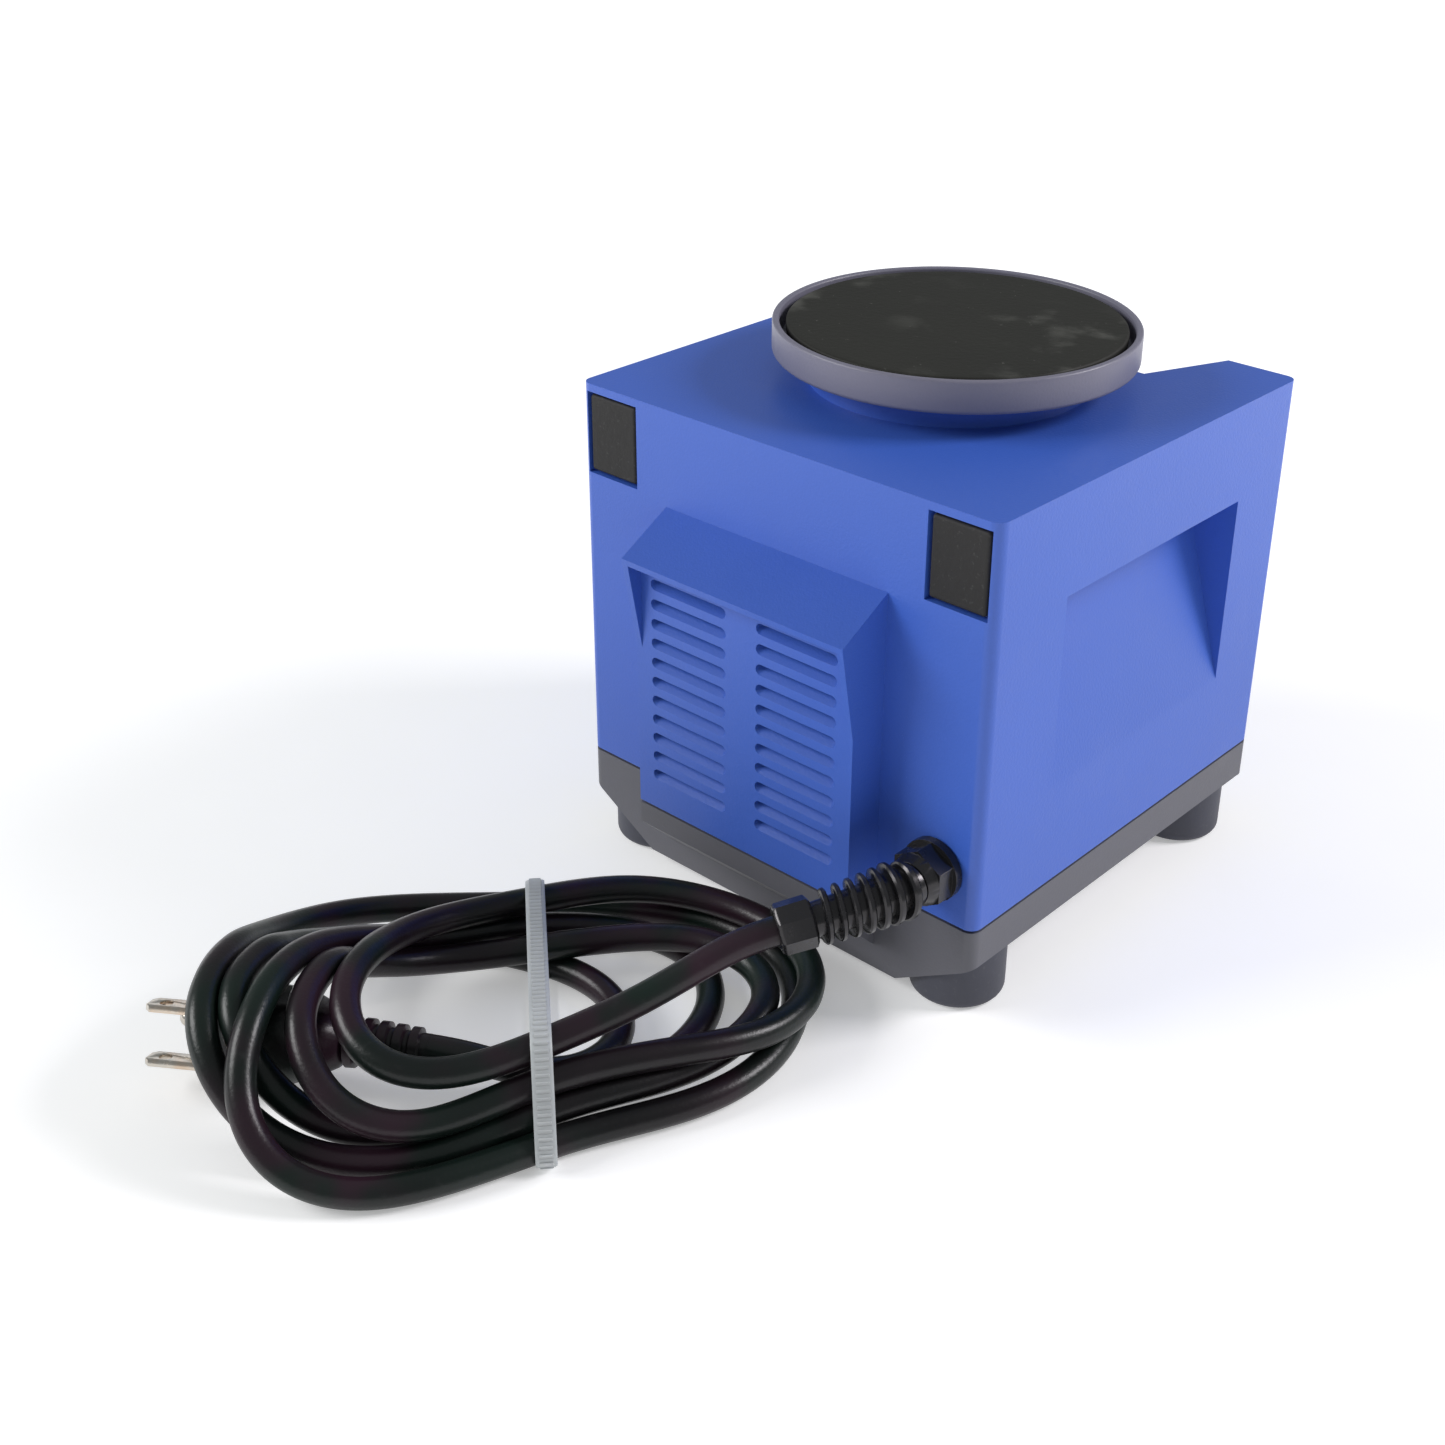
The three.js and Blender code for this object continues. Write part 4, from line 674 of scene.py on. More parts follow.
def ring_tree():
    """Copies of a shape stood evenly round a circle, each turned to face outwards."""
    tree, given, out = start_tree("Ring of copies", [
        ("Shape", "NodeSocketObject"), ("Count", "NodeSocketInt"), ("Radius", "NodeSocketFloat"),
        ("Material", "NodeSocketMaterial")])
    circle = tree.nodes.new("GeometryNodeMeshCircle")
    shape = tree.nodes.new("GeometryNodeObjectInfo")
    index = tree.nodes.new("GeometryNodeInputIndex")
    share = tree.nodes.new("ShaderNodeMath")
    share.operation = "DIVIDE"
    turn = tree.nodes.new("ShaderNodeMath")
    turn.operation = "MULTIPLY"
    turn.inputs[1].default_value = 2 * math.pi
    spin = tree.nodes.new("ShaderNodeCombineXYZ")
    copies = tree.nodes.new("GeometryNodeInstanceOnPoints")
    link = tree.links.new
    link(given.outputs["Count"], circle.inputs["Vertices"])
    link(given.outputs["Radius"], circle.inputs["Radius"])
    link(given.outputs["Shape"], shape.inputs["Object"])
    link(index.outputs[0], share.inputs[0])
    link(given.outputs["Count"], share.inputs[1])
    link(share.outputs[0], turn.inputs[0])
    link(turn.outputs[0], spin.inputs["Z"])
    link(circle.outputs[0], copies.inputs["Points"])
    link(shape.outputs["Geometry"], copies.inputs["Instance"])
    link(spin.outputs[0], copies.inputs["Rotation"])
    end_tree(tree, given, out, copies.outputs[0])
    return tree


def places_tree():
    """Copies of a shape at given points, each turned as the point's own "turn" says."""
    tree, given, out = start_tree("Copies at places", [
        ("Shape", "NodeSocketObject"), ("Size", "NodeSocketFloat"), ("Material", "NodeSocketMaterial")])
    shape = tree.nodes.new("GeometryNodeObjectInfo")
    turn = tree.nodes.new("GeometryNodeInputNamedAttribute")
    turn.data_type = "FLOAT_VECTOR"
    turn.inputs["Name"].default_value = "turn"
    copies = tree.nodes.new("GeometryNodeInstanceOnPoints")
    link = tree.links.new
    link(given.outputs["Geometry"], copies.inputs["Points"])
    link(given.outputs["Shape"], shape.inputs["Object"])
    link(shape.outputs["Geometry"], copies.inputs["Instance"])
    link(turn.outputs["Attribute"], copies.inputs["Rotation"])
    link(given.outputs["Size"], copies.inputs["Scale"])
    end_tree(tree, given, out, copies.outputs[0])
    return tree


def copies(name, tree, base, shape_mesh, finish, values):
    """Runs a repeating tree on a base mesh and returns the result as a plain mesh."""
    tidy_mesh(shape_mesh)
    shape = new_object(name + " shape", shape_mesh)
    work = new_object(name + " places", base)
    modifier = work.modifiers.new("Copies", "NODES")
    modifier.node_group = tree
    set_inputs(modifier, tree, {"Shape": shape, "Material": Finishes.made[finish], **values})
    result = baked(work, name)
    bpy.data.objects.remove(shape)
    return result


def places_mesh(points, turns):
    """Points in millimetres, each with a turn in radians."""
    mesh = mesh_from("places", points, [])
    attribute = mesh.attributes.new("turn", "FLOAT_VECTOR", "POINT")
    attribute.data.foreach_set("vector", np.array(turns, np.float32).ravel())
    return mesh


# ---------------------------------------------------------------- the lead's route
def in_row(places):
    """Hank places (along, across, height) as points of the row frame, in millimetres."""
    places = np.asarray(places, float)
    c, s = math.cos(HANK_TURN), math.sin(HANK_TURN)
    along, across, height = places.T
    return np.stack([HANK_MIDDLE[0] + along * c - across * s,
                     HANK_MIDDLE[1] + along * s + across * c, height], 1)


def evenly(points, step):
    """The same line with its points a step apart."""
    run = np.r_[0, np.cumsum(np.linalg.norm(np.diff(points, axis=0), axis=1))]
    stops = np.linspace(0, run[-1], int(round(run[-1] / step)) + 1)
    return np.stack([np.interp(stops, run, points[:, k]) for k in range(3)], 1)


def through(points, steps=12):
    """A smooth line through the points."""
    first, last = 2 * points[0] - points[1], 2 * points[-1] - points[-2]
    p = np.vstack([first, points, last])
    t = np.linspace(0, 1, steps, endpoint=False)[:, None]
    spans = [
        0.5 * (2 * b + (c - a) * t + (2 * a - 5 * b + 4 * c - d) * t ** 2
               + (3 * b - a - 3 * c + d) * t ** 3)
        for a, b, c, d in zip(p[:-3], p[1:-2], p[2:-1], p[3:])
    ]
    return np.vstack(spans + [points[-1:]])


def plug_axis():
    """Direction from the plug's tail to its face, level with the bench."""
    return np.array([math.cos(PLUG_TURN), math.sin(PLUG_TURN), 0.0])


def hank_route():
    """The whole lead from the boot to the plug's tail, before it settles."""
    lead = np.array(LEAD_POINTS) / MM
    turns = [in_row(places) for places in HANK_ENDS]
    tail_end = np.array(PLUG_FACE) + (0, 0, PLUG_MIDDLE_Z) - plug_axis() * (PLUG_LENGTH + PLUG_TAIL)
    into_plug = [tail_end - plug_axis() * 14 - (0, 0, 2.5), tail_end - plug_axis() * 6 - (0, 0, 0.6),
                 tail_end + plug_axis() * 2]
    return np.vstack([lead, *turns, into_plug])


def over_plug(points, radius):
    """How much each point has to rise to lie on the plug."""
    reach = points - np.array(PLUG_FACE)
    side = np.array([-plug_axis()[1], plug_axis()[0], 0])
    along, across = reach @ plug_axis(), reach @ side
    rise = np.zeros(len(points))
    for start, stop, half, top in PLUG_STEPS:
        outside = np.maximum(np.maximum(start - along, along - stop), np.abs(across) - half + 2)
        crown = top + radius - np.maximum(outside, 0) ** 2 / (2 * radius)
        held = outside < radius
        rise = np.where(held, np.maximum(rise, crown - points[:, 2]), rise)
    return rise


def settled(line, diameter, rounds=240, spare=5):
    """Lets the turns press each other apart, down to the bench and over the plug."""
    start, radius = line.copy(), diameter / 2
    order = np.arange(len(line))
    apart = np.abs(order[:, None] - order[None, :]) > spare
    free = np.ones((len(line), 1))
    free[:4] = free[-4:] = 0
    points = line.copy()
    for _ in range(rounds):
        move = 0.06 * (start - points)
        for w in (1, 2, 3):  # the sheath's stiffness evens out the bends
            bend = np.zeros_like(points)
            bend[2 * w:-2 * w] = (
                -points[:-4 * w] + 4 * points[w:-3 * w] - 6 * points[2 * w:-2 * w]
                + 4 * points[3 * w:-w] - points[4 * w:]) / 16
            move += bend * 0.5
        points = points + move * free
        for _ in range(2):
            gap = points[:, None] - points[None, :]
            far = np.linalg.norm(gap, axis=2)
            short = diameter * 1.01 - far
            push = np.where((short > 0) & apart, short / np.maximum(far, 1e-6), 0)
            points = points + (push[:, :, None] * gap).sum(1) * 0.3 * free
            rise = np.clip(over_plug(points, radius), 0, 0.6)
            points[:, 2] += rise * free[:, 0]
            points[:, 2] = np.maximum(points[:, 2], radius)
    return points


def boot_line(steps=24):
    """The boot's bent middle line, in millimetres, from the gland nut to its far end."""
    line = []
    for k in range(steps + 1):
        t = k / steps
        line.append(BOOT_START * (1 - t) ** 2 + BOOT_BEND * 2 * t * (1 - t) + BOOT_END * t ** 2)
    return np.array([tuple(p) for p in line])


def lead_line(diameter):
    """The lead's middle line, in millimetres, from the casing to the plug."""
    free = settled(evenly(through(hank_route()), 4.0), diameter / MM)
    inside = np.vstack([np.array([tuple(GLAND + Vector((0, 1, 0)))]), boot_line(8)[:-1]])
    return np.vstack([inside, free])


def mains_cord(settings):
    """The lead as one smooth round curve, its middle line and its length in metres."""
    line = lead_line(settings.diameter)
    places = evenly(line, 7.0)
    curve = bpy.data.curves.new("mains cord", "CURVE")
    curve.dimensions = "3D"
    curve.bevel_depth = settings.diameter / 2
    curve.bevel_resolution = 6
    curve.resolution_u = 5
    curve.use_fill_caps = True
    spline = curve.splines.new("NURBS")
    spline.points.add(len(places) - 1)
    spline.points.foreach_set("co", np.c_[places * MM, np.ones(len(places))].ravel())
    spline.order_u = 4
    spline.use_endpoint_u = True
    cord = piece("mains_cord", curve, "sheath", BODY_CHASSIS, ("mains_lead", "cord_hank"))
    length = np.linalg.norm(np.diff(line, axis=0), axis=1).sum() * MM
    return cord, line, length


# ---------------------------------------------------------------- the lead's fittings
def frames_along(line):
    """Middle points with a side and a lift direction across the line at each."""
    tangent = np.gradient(line, axis=0)
    tangent /= np.linalg.norm(tangent, axis=1)[:, None]
    side = np.cross(tangent, (0, 0, 1))
    side /= np.linalg.norm(side, axis=1)[:, None]
    return line, side, np.cross(side, tangent)


def boot(settings):
    """Strain relief: a tapered core with a helical rib, and a faceted collar at the cord's end."""
    collar, facets, sides = 8.5, 8, 48
    start_radius, end_radius = 7.7, 6.3
    line, side, lift = frames_along(evenly(boot_line(60), 0.4))
    run = np.r_[0, np.cumsum(np.linalg.norm(np.diff(line, axis=0), axis=1))]
    ribbed = run[-1] - collar

    def place(s, radius, turn):
        at = [np.interp(s, run, line[:, k]) for k in range(3)]
        a = np.array([np.interp(s, run, side[:, k]) for k in range(3)])
        b = np.array([np.interp(s, run, lift[:, k]) for k in range(3)])
        return np.array(at) + (a * math.cos(turn) + b * math.sin(turn)) * radius

    def outer(s):
        return start_radius + (end_radius - start_radius) * s / ribbed

    def around(s, radius, faceted=0.0):
        ring = []
        for j in range(sides):
            turn = 2 * math.pi * j / sides
            facet = turn % (2 * math.pi / facets) - math.pi / facets
            flat = 1 - faceted * (1 - math.cos(math.pi / facets) / math.cos(facet))
            ring.append(place(s, radius * flat, turn))
        return ring

    core = [around(s, outer(s) - 2.2) for s in np.linspace(0, ribbed + 0.5, 40)]
    end = run[-1]
    collar_rings = [around(ribbed - 0.2, 4.3), around(ribbed - 0.2, 5.3, 1), around(ribbed + 0.5, 6.3, 1),
                    around(end - 1.0, 6.2, 1), around(end - 0.25, 5.8, 1), around(end, 5.3, 0.5),
                    around(end, 4.5), around(end - 1.6, 4.3), around(end - 1.6, 3.2)]
    rib, turns, steps = [], settings.boot_ribs, 40
    pitch = (ribbed - 2.4) / turns
    half = pitch * 0.24
    for k in range(turns * steps + 1):
        s = 1.2 + pitch * k / steps
        turn = 2 * math.pi * k / steps
        fade = min(1.0, k / 12, (turns * steps - k) / 12)
        top = outer(s) - 2.4 * (1 - fade)
        foot = outer(s) - 2.8
        rib.append([place(s - half, foot, turn), place(s - half, top - 0.5, turn),
                    place(s - half + 0.4, top, turn), place(s + half - 0.4, top, turn),
                    place(s + half, top - 0.5, turn), place(s + half, foot, turn)])
    whole = join_meshes("strain relief", [
        swept(core, "core"), swept(collar_rings, "collar"), swept(rib, "rib")])
    return piece("strain_relief", whole, "gloss",
                 BODY_CHASSIS, ("strain_relief_boot",), sharp=40)


def tie_line(cord_line, cord_radius, thick):
    """The tie's path round the strands: their outline at the tie, as [across, height] places."""
    c, s = math.cos(HANK_TURN), math.sin(HANK_TURN)
    x, y = cord_line[:, 0] - HANK_MIDDLE[0], cord_line[:, 1] - HANK_MIDDLE[1]
    along, across = x * c + y * s, -x * s + y * c
    near = (np.abs(along - TIE_ALONG - 2.4) < 6) & (cord_line[:, 2] < 60)
    circle = np.linspace(0, 2 * math.pi, 24, endpoint=False)
    reach = cord_radius + thick / 2
    dots = [(a + reach * math.cos(t), max(h + reach * math.sin(t), thick / 2 + TOOTH_ROOM))
            for a, h in zip(across[near], cord_line[near, 2]) for t in circle]
    dots = sorted(set((round(float(a), 4), round(float(h), 4)) for a, h in dots))

    def half(places):
        kept = []
        for p in places:
            while len(kept) > 1 and (
                (kept[-1][0] - kept[-2][0]) * (p[1] - kept[-2][1])
                - (kept[-1][1] - kept[-2][1]) * (p[0] - kept[-2][0])) <= 0:
                kept.pop()
            kept.append(p)
        return kept[:-1]

    hull = half(dots) + half(dots[::-1])
    return np.array(hull + hull[:1])


def tie(cord_line, settings):
    """Nylon tie: a toothed band round the hank."""
    width, thick = 4.8, 1.2
    flat = tie_line(cord_line, settings.diameter / 2 / MM, thick)
    loop = evenly(np.c_[flat, np.zeros(len(flat))], 1.6)[:-1, :2]
    for _ in range(3):
        loop = (np.roll(loop, 1, 0) + 2 * loop + np.roll(loop, -1, 0)) / 4
    tangent = np.roll(loop, -1, 0) - np.roll(loop, 1, 0)
    tangent /= np.linalg.norm(tangent, axis=1)[:, None]
    outwards = np.c_[tangent[:, 1], -tangent[:, 0]]

    def at(place, along):
        return in_row([[along, place[0], place[1]]])[0]

    sections = []
    low, high = TIE_ALONG, TIE_ALONG + width
    for place, out in zip(loop, outwards):
        inner, outer = place - out * thick / 2, place + out * thick / 2
        shoulder = place + out * thick * 0.28
        sections.append([at(inner, low), at(shoulder, low), at(outer, low + 0.5),
                         at(outer, high - 0.5), at(shoulder, high), at(inner, high)])
    sections.append(sections[0])
    band = swept(sections, "tie band", caps=False)
    shape = bmesh.new()
    for corner in ((-0.5, -1.55, 0), (0.5, -1.55, 0), (0.42, -1.45, 0.42), (0.3, -1.45, 0.42),
                   (-0.5, 1.55, 0), (0.5, 1.55, 0), (0.42, 1.45, 0.42), (0.3, 1.45, 0.42)):
        shape.verts.new(Vector(corner) * MM)
    shape.verts.ensure_lookup_table()
    for quad in ((0, 3, 2, 1), (4, 5, 6, 7), (0, 1, 5, 4), (1, 2, 6, 5), (2, 3, 7, 6), (3, 0, 4, 7)):
        shape.faces.new([shape.verts[k] for k in quad])
    tooth = bpy.data.meshes.new("tooth")
    shape.to_mesh(tooth)
    shape.free()
    ring = np.vstack([loop, loop[:1]])
    stops = evenly(np.c_[ring, np.zeros(len(ring))], settings.tooth_pitch / MM)[:-1, :2]
    points, turns = [], []
    for place in stops:
        k = int(np.argmin(np.linalg.norm(loop - place, axis=1)))
        out, run = outwards[k], tangent[k]
        x = Vector(at(place + run, 0) - at(place, 0)).normalized()
        z = Vector(at(place + out, 0) - at(place, 0)).normalized()
        y = z.cross(x)
        turn = Matrix((x, y, z)).transposed().to_euler()
        points.append(at(place + out * (thick / 2 - 0.03), TIE_ALONG + width / 2))
        turns.append(tuple(turn))
    teeth = copies("tie teeth", places_tree(), places_mesh(points, turns), tooth, "nylon", {"Size": 1.0})
    whole = join_meshes("tie", [band, teeth])
    return piece("cord_tie_band", whole, "nylon", BODY_CHASSIS, ("cord_tie",), sharp=35)


def plug_matrix():
    """From the plug's own axes, in metres, to the row frame."""
    return (Matrix.Translation(PLUG_FACE * MM) @ Matrix.Rotation(PLUG_TURN, 4, "Z")
            @ Matrix.Translation((0, 0, PLUG_MIDDLE_Z * MM)) @ Matrix.Rotation(PLUG_ROLL, 4, "X"))


def rounded_section(x, half_y, half_z, corner, steps=6):
    """A rounded rectangle across X, in millimetres."""
    ring = []
    corner = min(corner, half_y - 0.01, half_z - 0.01)
    for q, (sy, sz) in enumerate(((1, 1), (-1, 1), (-1, -1), (1, -1))):
        for k in range(steps + 1):
            turn = math.pi / 2 * (q + k / steps)
            ring.append((x, sy * (half_y - corner) + corner * math.cos(turn),
                         sz * (half_z - corner) + corner * math.sin(turn)))
    return ring


def plug_body():
    """Moulded plug: a rounded nose, finger grips and a ribbed tail round the cord."""
    sections = []
    for x, shrink in ((0, 1.3), (-0.35, 0.5), (-1.2, 0), (-9, 0.0), (-14, 0.35), (-19, 1.0),
                      (-24, 2.6), (-28, 4.3)):
        sections.append(rounded_section(x, 10 - shrink, 12 - shrink * 1.25, 6 - shrink * 0.2))
    ribs, pitch = 5, 3.7
    for k in range(ribs):
        start = -29.0 - k * pitch
        radius = 6.0 - k * 0.32
        for x, r in ((start, radius - 1.3), (start - 0.35, radius), (start - 2.3, radius - 0.05),
                     (start - 2.6, radius - 1.3), (start - pitch + 0.3, radius - 1.35)):
            sections.append(rounded_section(x, r, r, r))
    sections.append(rounded_section(-48.4, 3.4, 3.4, 3.4))
    body = swept([[Vector(p) for p in reversed(ring)] for ring in sections], "plug body")
    body.transform(plug_matrix())
    return piece("plug_moulding", body, "sheath", BODY_CHASSIS, ("plug_body",), sharp=42)


def blade(side):
    """Flat contact with a hole near its chamfered tip, in the plug's axes."""
    length, width, root, chamfer = 15.9, 6.35, 8.0, 1.3
    outline = bpy.data.curves.new("blade outline", "CURVE")
    outline.dimensions = "2D"
    outline.fill_mode = "BOTH"
    outline.extrude = 0.62 * MM
    outline.bevel_depth = 0.13 * MM
    outline.bevel_resolution = 1
    half = width / 2 - 0.13
    corners = [(-root, -half), (length - chamfer, -half), (length - 0.13, -half + chamfer),
               (length - 0.13, half - chamfer), (length - chamfer, half), (-root, half)]
    hole = [(11.8 + 1.65 * math.cos(2 * math.pi * k / 24), 1.65 * math.sin(2 * math.pi * k / 24))
            for k in range(24)]
    for loop in (corners, hole):
        spline = outline.splines.new("POLY")
        spline.points.add(len(loop) - 1)
        spline.points.foreach_set("co", np.array([(x * MM, y * MM, 0, 1) for x, y in loop]).ravel())
        spline.use_cyclic_u = True
    mesh = baked(new_object("blade outline", outline), "blade")
    mesh.transform(plug_matrix() @ Matrix.Translation((0, side * 6.35 * MM, -6 * MM))
                   @ Matrix.Rotation(math.pi / 2, 4, "X"))
    return mesh


def plug_contacts():
    """Two blades and a round-nosed ground pin."""
    pieces = []
    for k, side in enumerate((-1, 1)):
        pieces.append(piece(f"plug_contact_{k + 1}", blade(side), "contact",
                            BODY_CHASSIS, (f"plug_blade_{k + 1}",), sharp=30))
    pin = turned([(0, -8), (2.4, -8), (2.4, 10.9), *arc(0, 11.1, 2.4, 0, 90, 6)[1:-1], (0, 13.5)],
                 32, "ground pin")
    pin.transform(plug_matrix() @ Matrix.Translation((0, 0, 5.9 * MM)) @ Matrix.Rotation(math.pi / 2, 4, "Y"))
    pieces.append(piece("plug_earth_pin", pin, "contact", BODY_CHASSIS, ("plug_ground_pin",)))
    return pieces


def gland_nut():
    """The gland's nut, with its edges rounded."""
    return piece("gland_cap", rounded_copy("gland_nut", 0.0005, 2, 28), "gloss",
                 BODY_CHASSIS, ("gland_nut",), tidy=False)


def make_cord(scene):
    """The lead with everything that is on it."""
    settings = scene.mixer_cord
    cord, line, length = mains_cord(settings)
    fittings = [gland_nut(), boot(settings), tie(line, settings), plug_body(), *plug_contacts(),
                frame["nodes"]["gland_body"]]


# ---------------------------------------------------------------- casing
def make_casing(scene):
    """Housing, tray and rear pads, with their edges rounded."""
    settings = scene.mixer_casing
    piece("housing_shell", rounded_copy("housing", settings.edge), "blue",
          BODY_CHASSIS, ("housing",), tidy=False)
    piece("tray_shell", rounded_copy("base_tray", settings.tray_edge), "grey",
          BODY_CHASSIS, ("base_tray",), tidy=False)
    for side in ("left", "right"):
        piece(f"pad_{side}", rounded_copy(f"rear_pad_{side}", settings.pad_edge, 4), "pad",
              BODY_CHASSIS, (f"rear_pad_{side}",), tidy=False)


def make_feet():
    """Four rubber feet with rounded lower edges and a recess for the screw."""
    meshes = []
    for k in range(1, 5):
        low, high = ends(f"foot_{k}")
        radius = (high.x - low.x) / 2
        foot = turned([(5.0, 0.5), (5.5, 0), *arc(radius - 2.5, 2.5, 2.5, -90, 0, 8), (radius, high.z - 0.3),
                       (radius - 0.3, high.z), (2.3, high.z), (2.3, 4.7), (5.0, 4.7)], 64, "foot")
        foot.transform(Matrix.Translation(((low.x + high.x) / 2 * MM, (low.y + high.y) / 2 * MM, 0)))
        meshes.append(foot)
    piece("rubber_feet", join_meshes("rubber feet", meshes), "foot", BODY_CHASSIS,
          tuple(f"foot_{k}" for k in range(1, 5)), sharp=35)


def cross_head_screw():
    """A pan-head screw, head down, with a cross recess; its head's underside is at zero."""
    sides = 40
    points, faces = [], []
    rings = [(3.5, 0), (3.55, -0.5), (3.2, -1.5), (2.5, -2.1), (1.9, -2.35)]
    for radius, height in rings:
        for k in range(sides):
            turn = 2 * math.pi * k / sides
            points.append((radius * math.cos(turn), radius * math.sin(turn), height))
    for r in range(len(rings) - 1):
        for k in range(sides):
            n = (k + 1) % sides
            a, b = r * sides, (r + 1) * sides
            faces.append((a + k, b + k, b + n, a + n))
    cross = []
    for k in range(sides):
        turn = 2 * math.pi * k / sides
        spoke = abs(math.cos(2 * turn)) > 0.80
        radius = 1.75 if spoke else 0.62
        cross.append((radius * math.cos(turn), radius * math.sin(turn)))
    rim = len(points)
    points += [(x, y, -2.4) for x, y in cross]
    pit = len(points)
    points += [(x * 0.75, y * 0.75, -1.1) for x, y in cross]
    top = (len(rings) - 1) * sides
    for k in range(sides):
        n = (k + 1) % sides
        faces.append((top + k, rim + k, rim + n, top + n))
        faces.append((rim + k, pit + k, pit + n, rim + n))
    faces.append(tuple(range(pit, pit + sides)))
    shank = len(points)
    for radius, height in ((2.0, 0), (2.0, 9.0)):
        points += [(radius * math.cos(2 * math.pi * k / sides),
                    radius * math.sin(2 * math.pi * k / sides), height) for k in range(sides)]
    for k in range(sides):
        n = (k + 1) % sides
        faces.append((k, n, shank + n, shank + k))
        faces.append((shank + k, shank + n, shank + sides + n, shank + sides + k))
    faces.append(tuple(range(shank + sides, shank + 2 * sides)))
    return mesh_from("screw", points, faces)


def make_screws():
    """Screws under the feet and in the tray, one tree for each kind."""
    for name, node in (("foot_screws", "foot_screw"), ("tray_screws", "casing_screw")):
        points = []
        for k in range(1, 5):
            low, high = ends(f"{node}_{k}")
            points.append(((low.x + high.x) / 2, (low.y + high.y) / 2, low.z + 2.4))
        made = copies(name, places_tree(), places_mesh(points, [(0, 0, 0.4 * k) for k in range(4)]),
                      cross_head_screw(), "zinc", {"Size": 1.0})
        piece(name, made, "zinc", BODY_CHASSIS, tuple(f"{node}_{k}" for k in range(1, 5)))


# ---------------------------------------------------------------- platform
def make_platform(scene):
    """The dish, turned with rounded edges, and the mat in it."""
    settings = scene.mixer_platform
    low, high = ends("dish")
    x, y, radius = (low.x + high.x) / 2, (low.y + high.y) / 2, (high.x - low.x) / 2
    edge = settings.rim_edge / MM
    wall, floor, bore = 1.8, 2.6, 2.8
    rim = turned([
        (bore, low.z), *arc(radius - 1.2, low.z + 1.2, 1.2, -90, 0, 6),
        *arc(radius - edge, high.z - edge, edge, 0, 90, 5),
        *arc(radius - wall + edge, high.z - edge, edge, 90, 180, 5),
        *arc(radius - wall - 0.8, low.z + floor + 0.8, 0.8, 0, -90, 4),
        (4.2, low.z + floor), (bore, low.z + 1.0)], settings.sides, "dish rim")
    place = Matrix.Translation((x * MM, y * MM, 0))
    rim.transform(place)
    piece("dish_rim", rim, "rim", BODY_PLATFORM, ("dish",), sharp=40)
    low, high = ends("dish_mat")
    radius = (high.x - low.x) / 2
    disc = turned([
        (0, low.z), (radius - 0.6, low.z), (radius - 0.35, low.z + 0.3), (radius, high.z - 1.4),
        *arc(radius - 0.7, high.z - 0.7, 0.7, 0, 90, 5), (radius - 3.0, high.z - 0.05),
        (radius - 14, high.z - 0.02),
        (0, high.z)], settings.sides, "mat")
    disc.transform(place)
    piece("mat_disc", disc, "mat", BODY_PLATFORM, ("dish_mat",), sharp=40)


# ---------------------------------------------------------------- controls
def panel_matrix(node, lift):
    """From flat on the panel, facing up, to the sloping panel at a node's middle; lift in millimetres."""
    joint = next(j for j in frame["record"]["behaviour"]["joints"] if j["name"] == "speed_knob_turn")
    out = Vector(joint["axis"]).normalized()
    x = Vector((1, 0, 0))
    y = out.cross(x)
    turn = Matrix((x, y, out)).transposed().to_4x4()
    base = Vector(joint["pos_m"])
    shift = Vector((middle(node).x * MM - base.x, 0, 0))
    return Matrix.Translation(base + shift + out * lift * MM) @ turn


def make_knob(scene):
    """Turned knob with a fluted grip, and its pointer."""
    settings = scene.mixer_controls
    place = panel_matrix("speed_knob", PANEL_LIFT)
    body = turned([(0, 1), (12.0 - 0.4, 1), (12.0, 1.4), (12.0, 2.2), (11.4, 2.9), (10.6, 3.4), (9.95, 4.4),
                   (9.6, 8.7), *arc(8.6, 9.0, 1.0, 0, 90, 5), (0, 10)], 96, "knob")
    flute = turned([(0, 3.4), (settings.flute_radius / MM, 3.6), (settings.flute_radius / MM, 8.9),
                    (0, 9.5)], 10, "flute")
    base = bpy.data.meshes.new("knob base")
    flutes = copies("flutes", ring_tree(), base, flute, "gloss", {
        "Count": settings.flutes, "Radius": 9.85 * MM})
    whole = join_meshes("knob grip", [body, flutes])
    whole.transform(place)
    piece("knob_grip", whole, "gloss", BODY_KNOB, ("speed_knob",), sharp=35)
    piece("pointer_line", rounded_copy("knob_pointer", 0.00012, 2), "print", BODY_KNOB,
          ("knob_pointer",), tidy=False)


def bar(length, width, height):
    """A small flat bar, lying along Y with its foot at zero."""
    x, y = width / 2, length / 2
    points = [(-x, -y, 0), (x, -y, 0), (x, y, 0), (-x, y, 0)]
    inset = height * 0.4
    points += [(px - math.copysign(inset, px), py - math.copysign(inset, py), height) for px, py, _ in points]
    return mesh_from("bar", points, [
        (0, 3, 2, 1), (4, 5, 6, 7), (0, 1, 5, 4), (1, 2, 6, 5), (2, 3, 7, 6), (3, 0, 4, 7)])


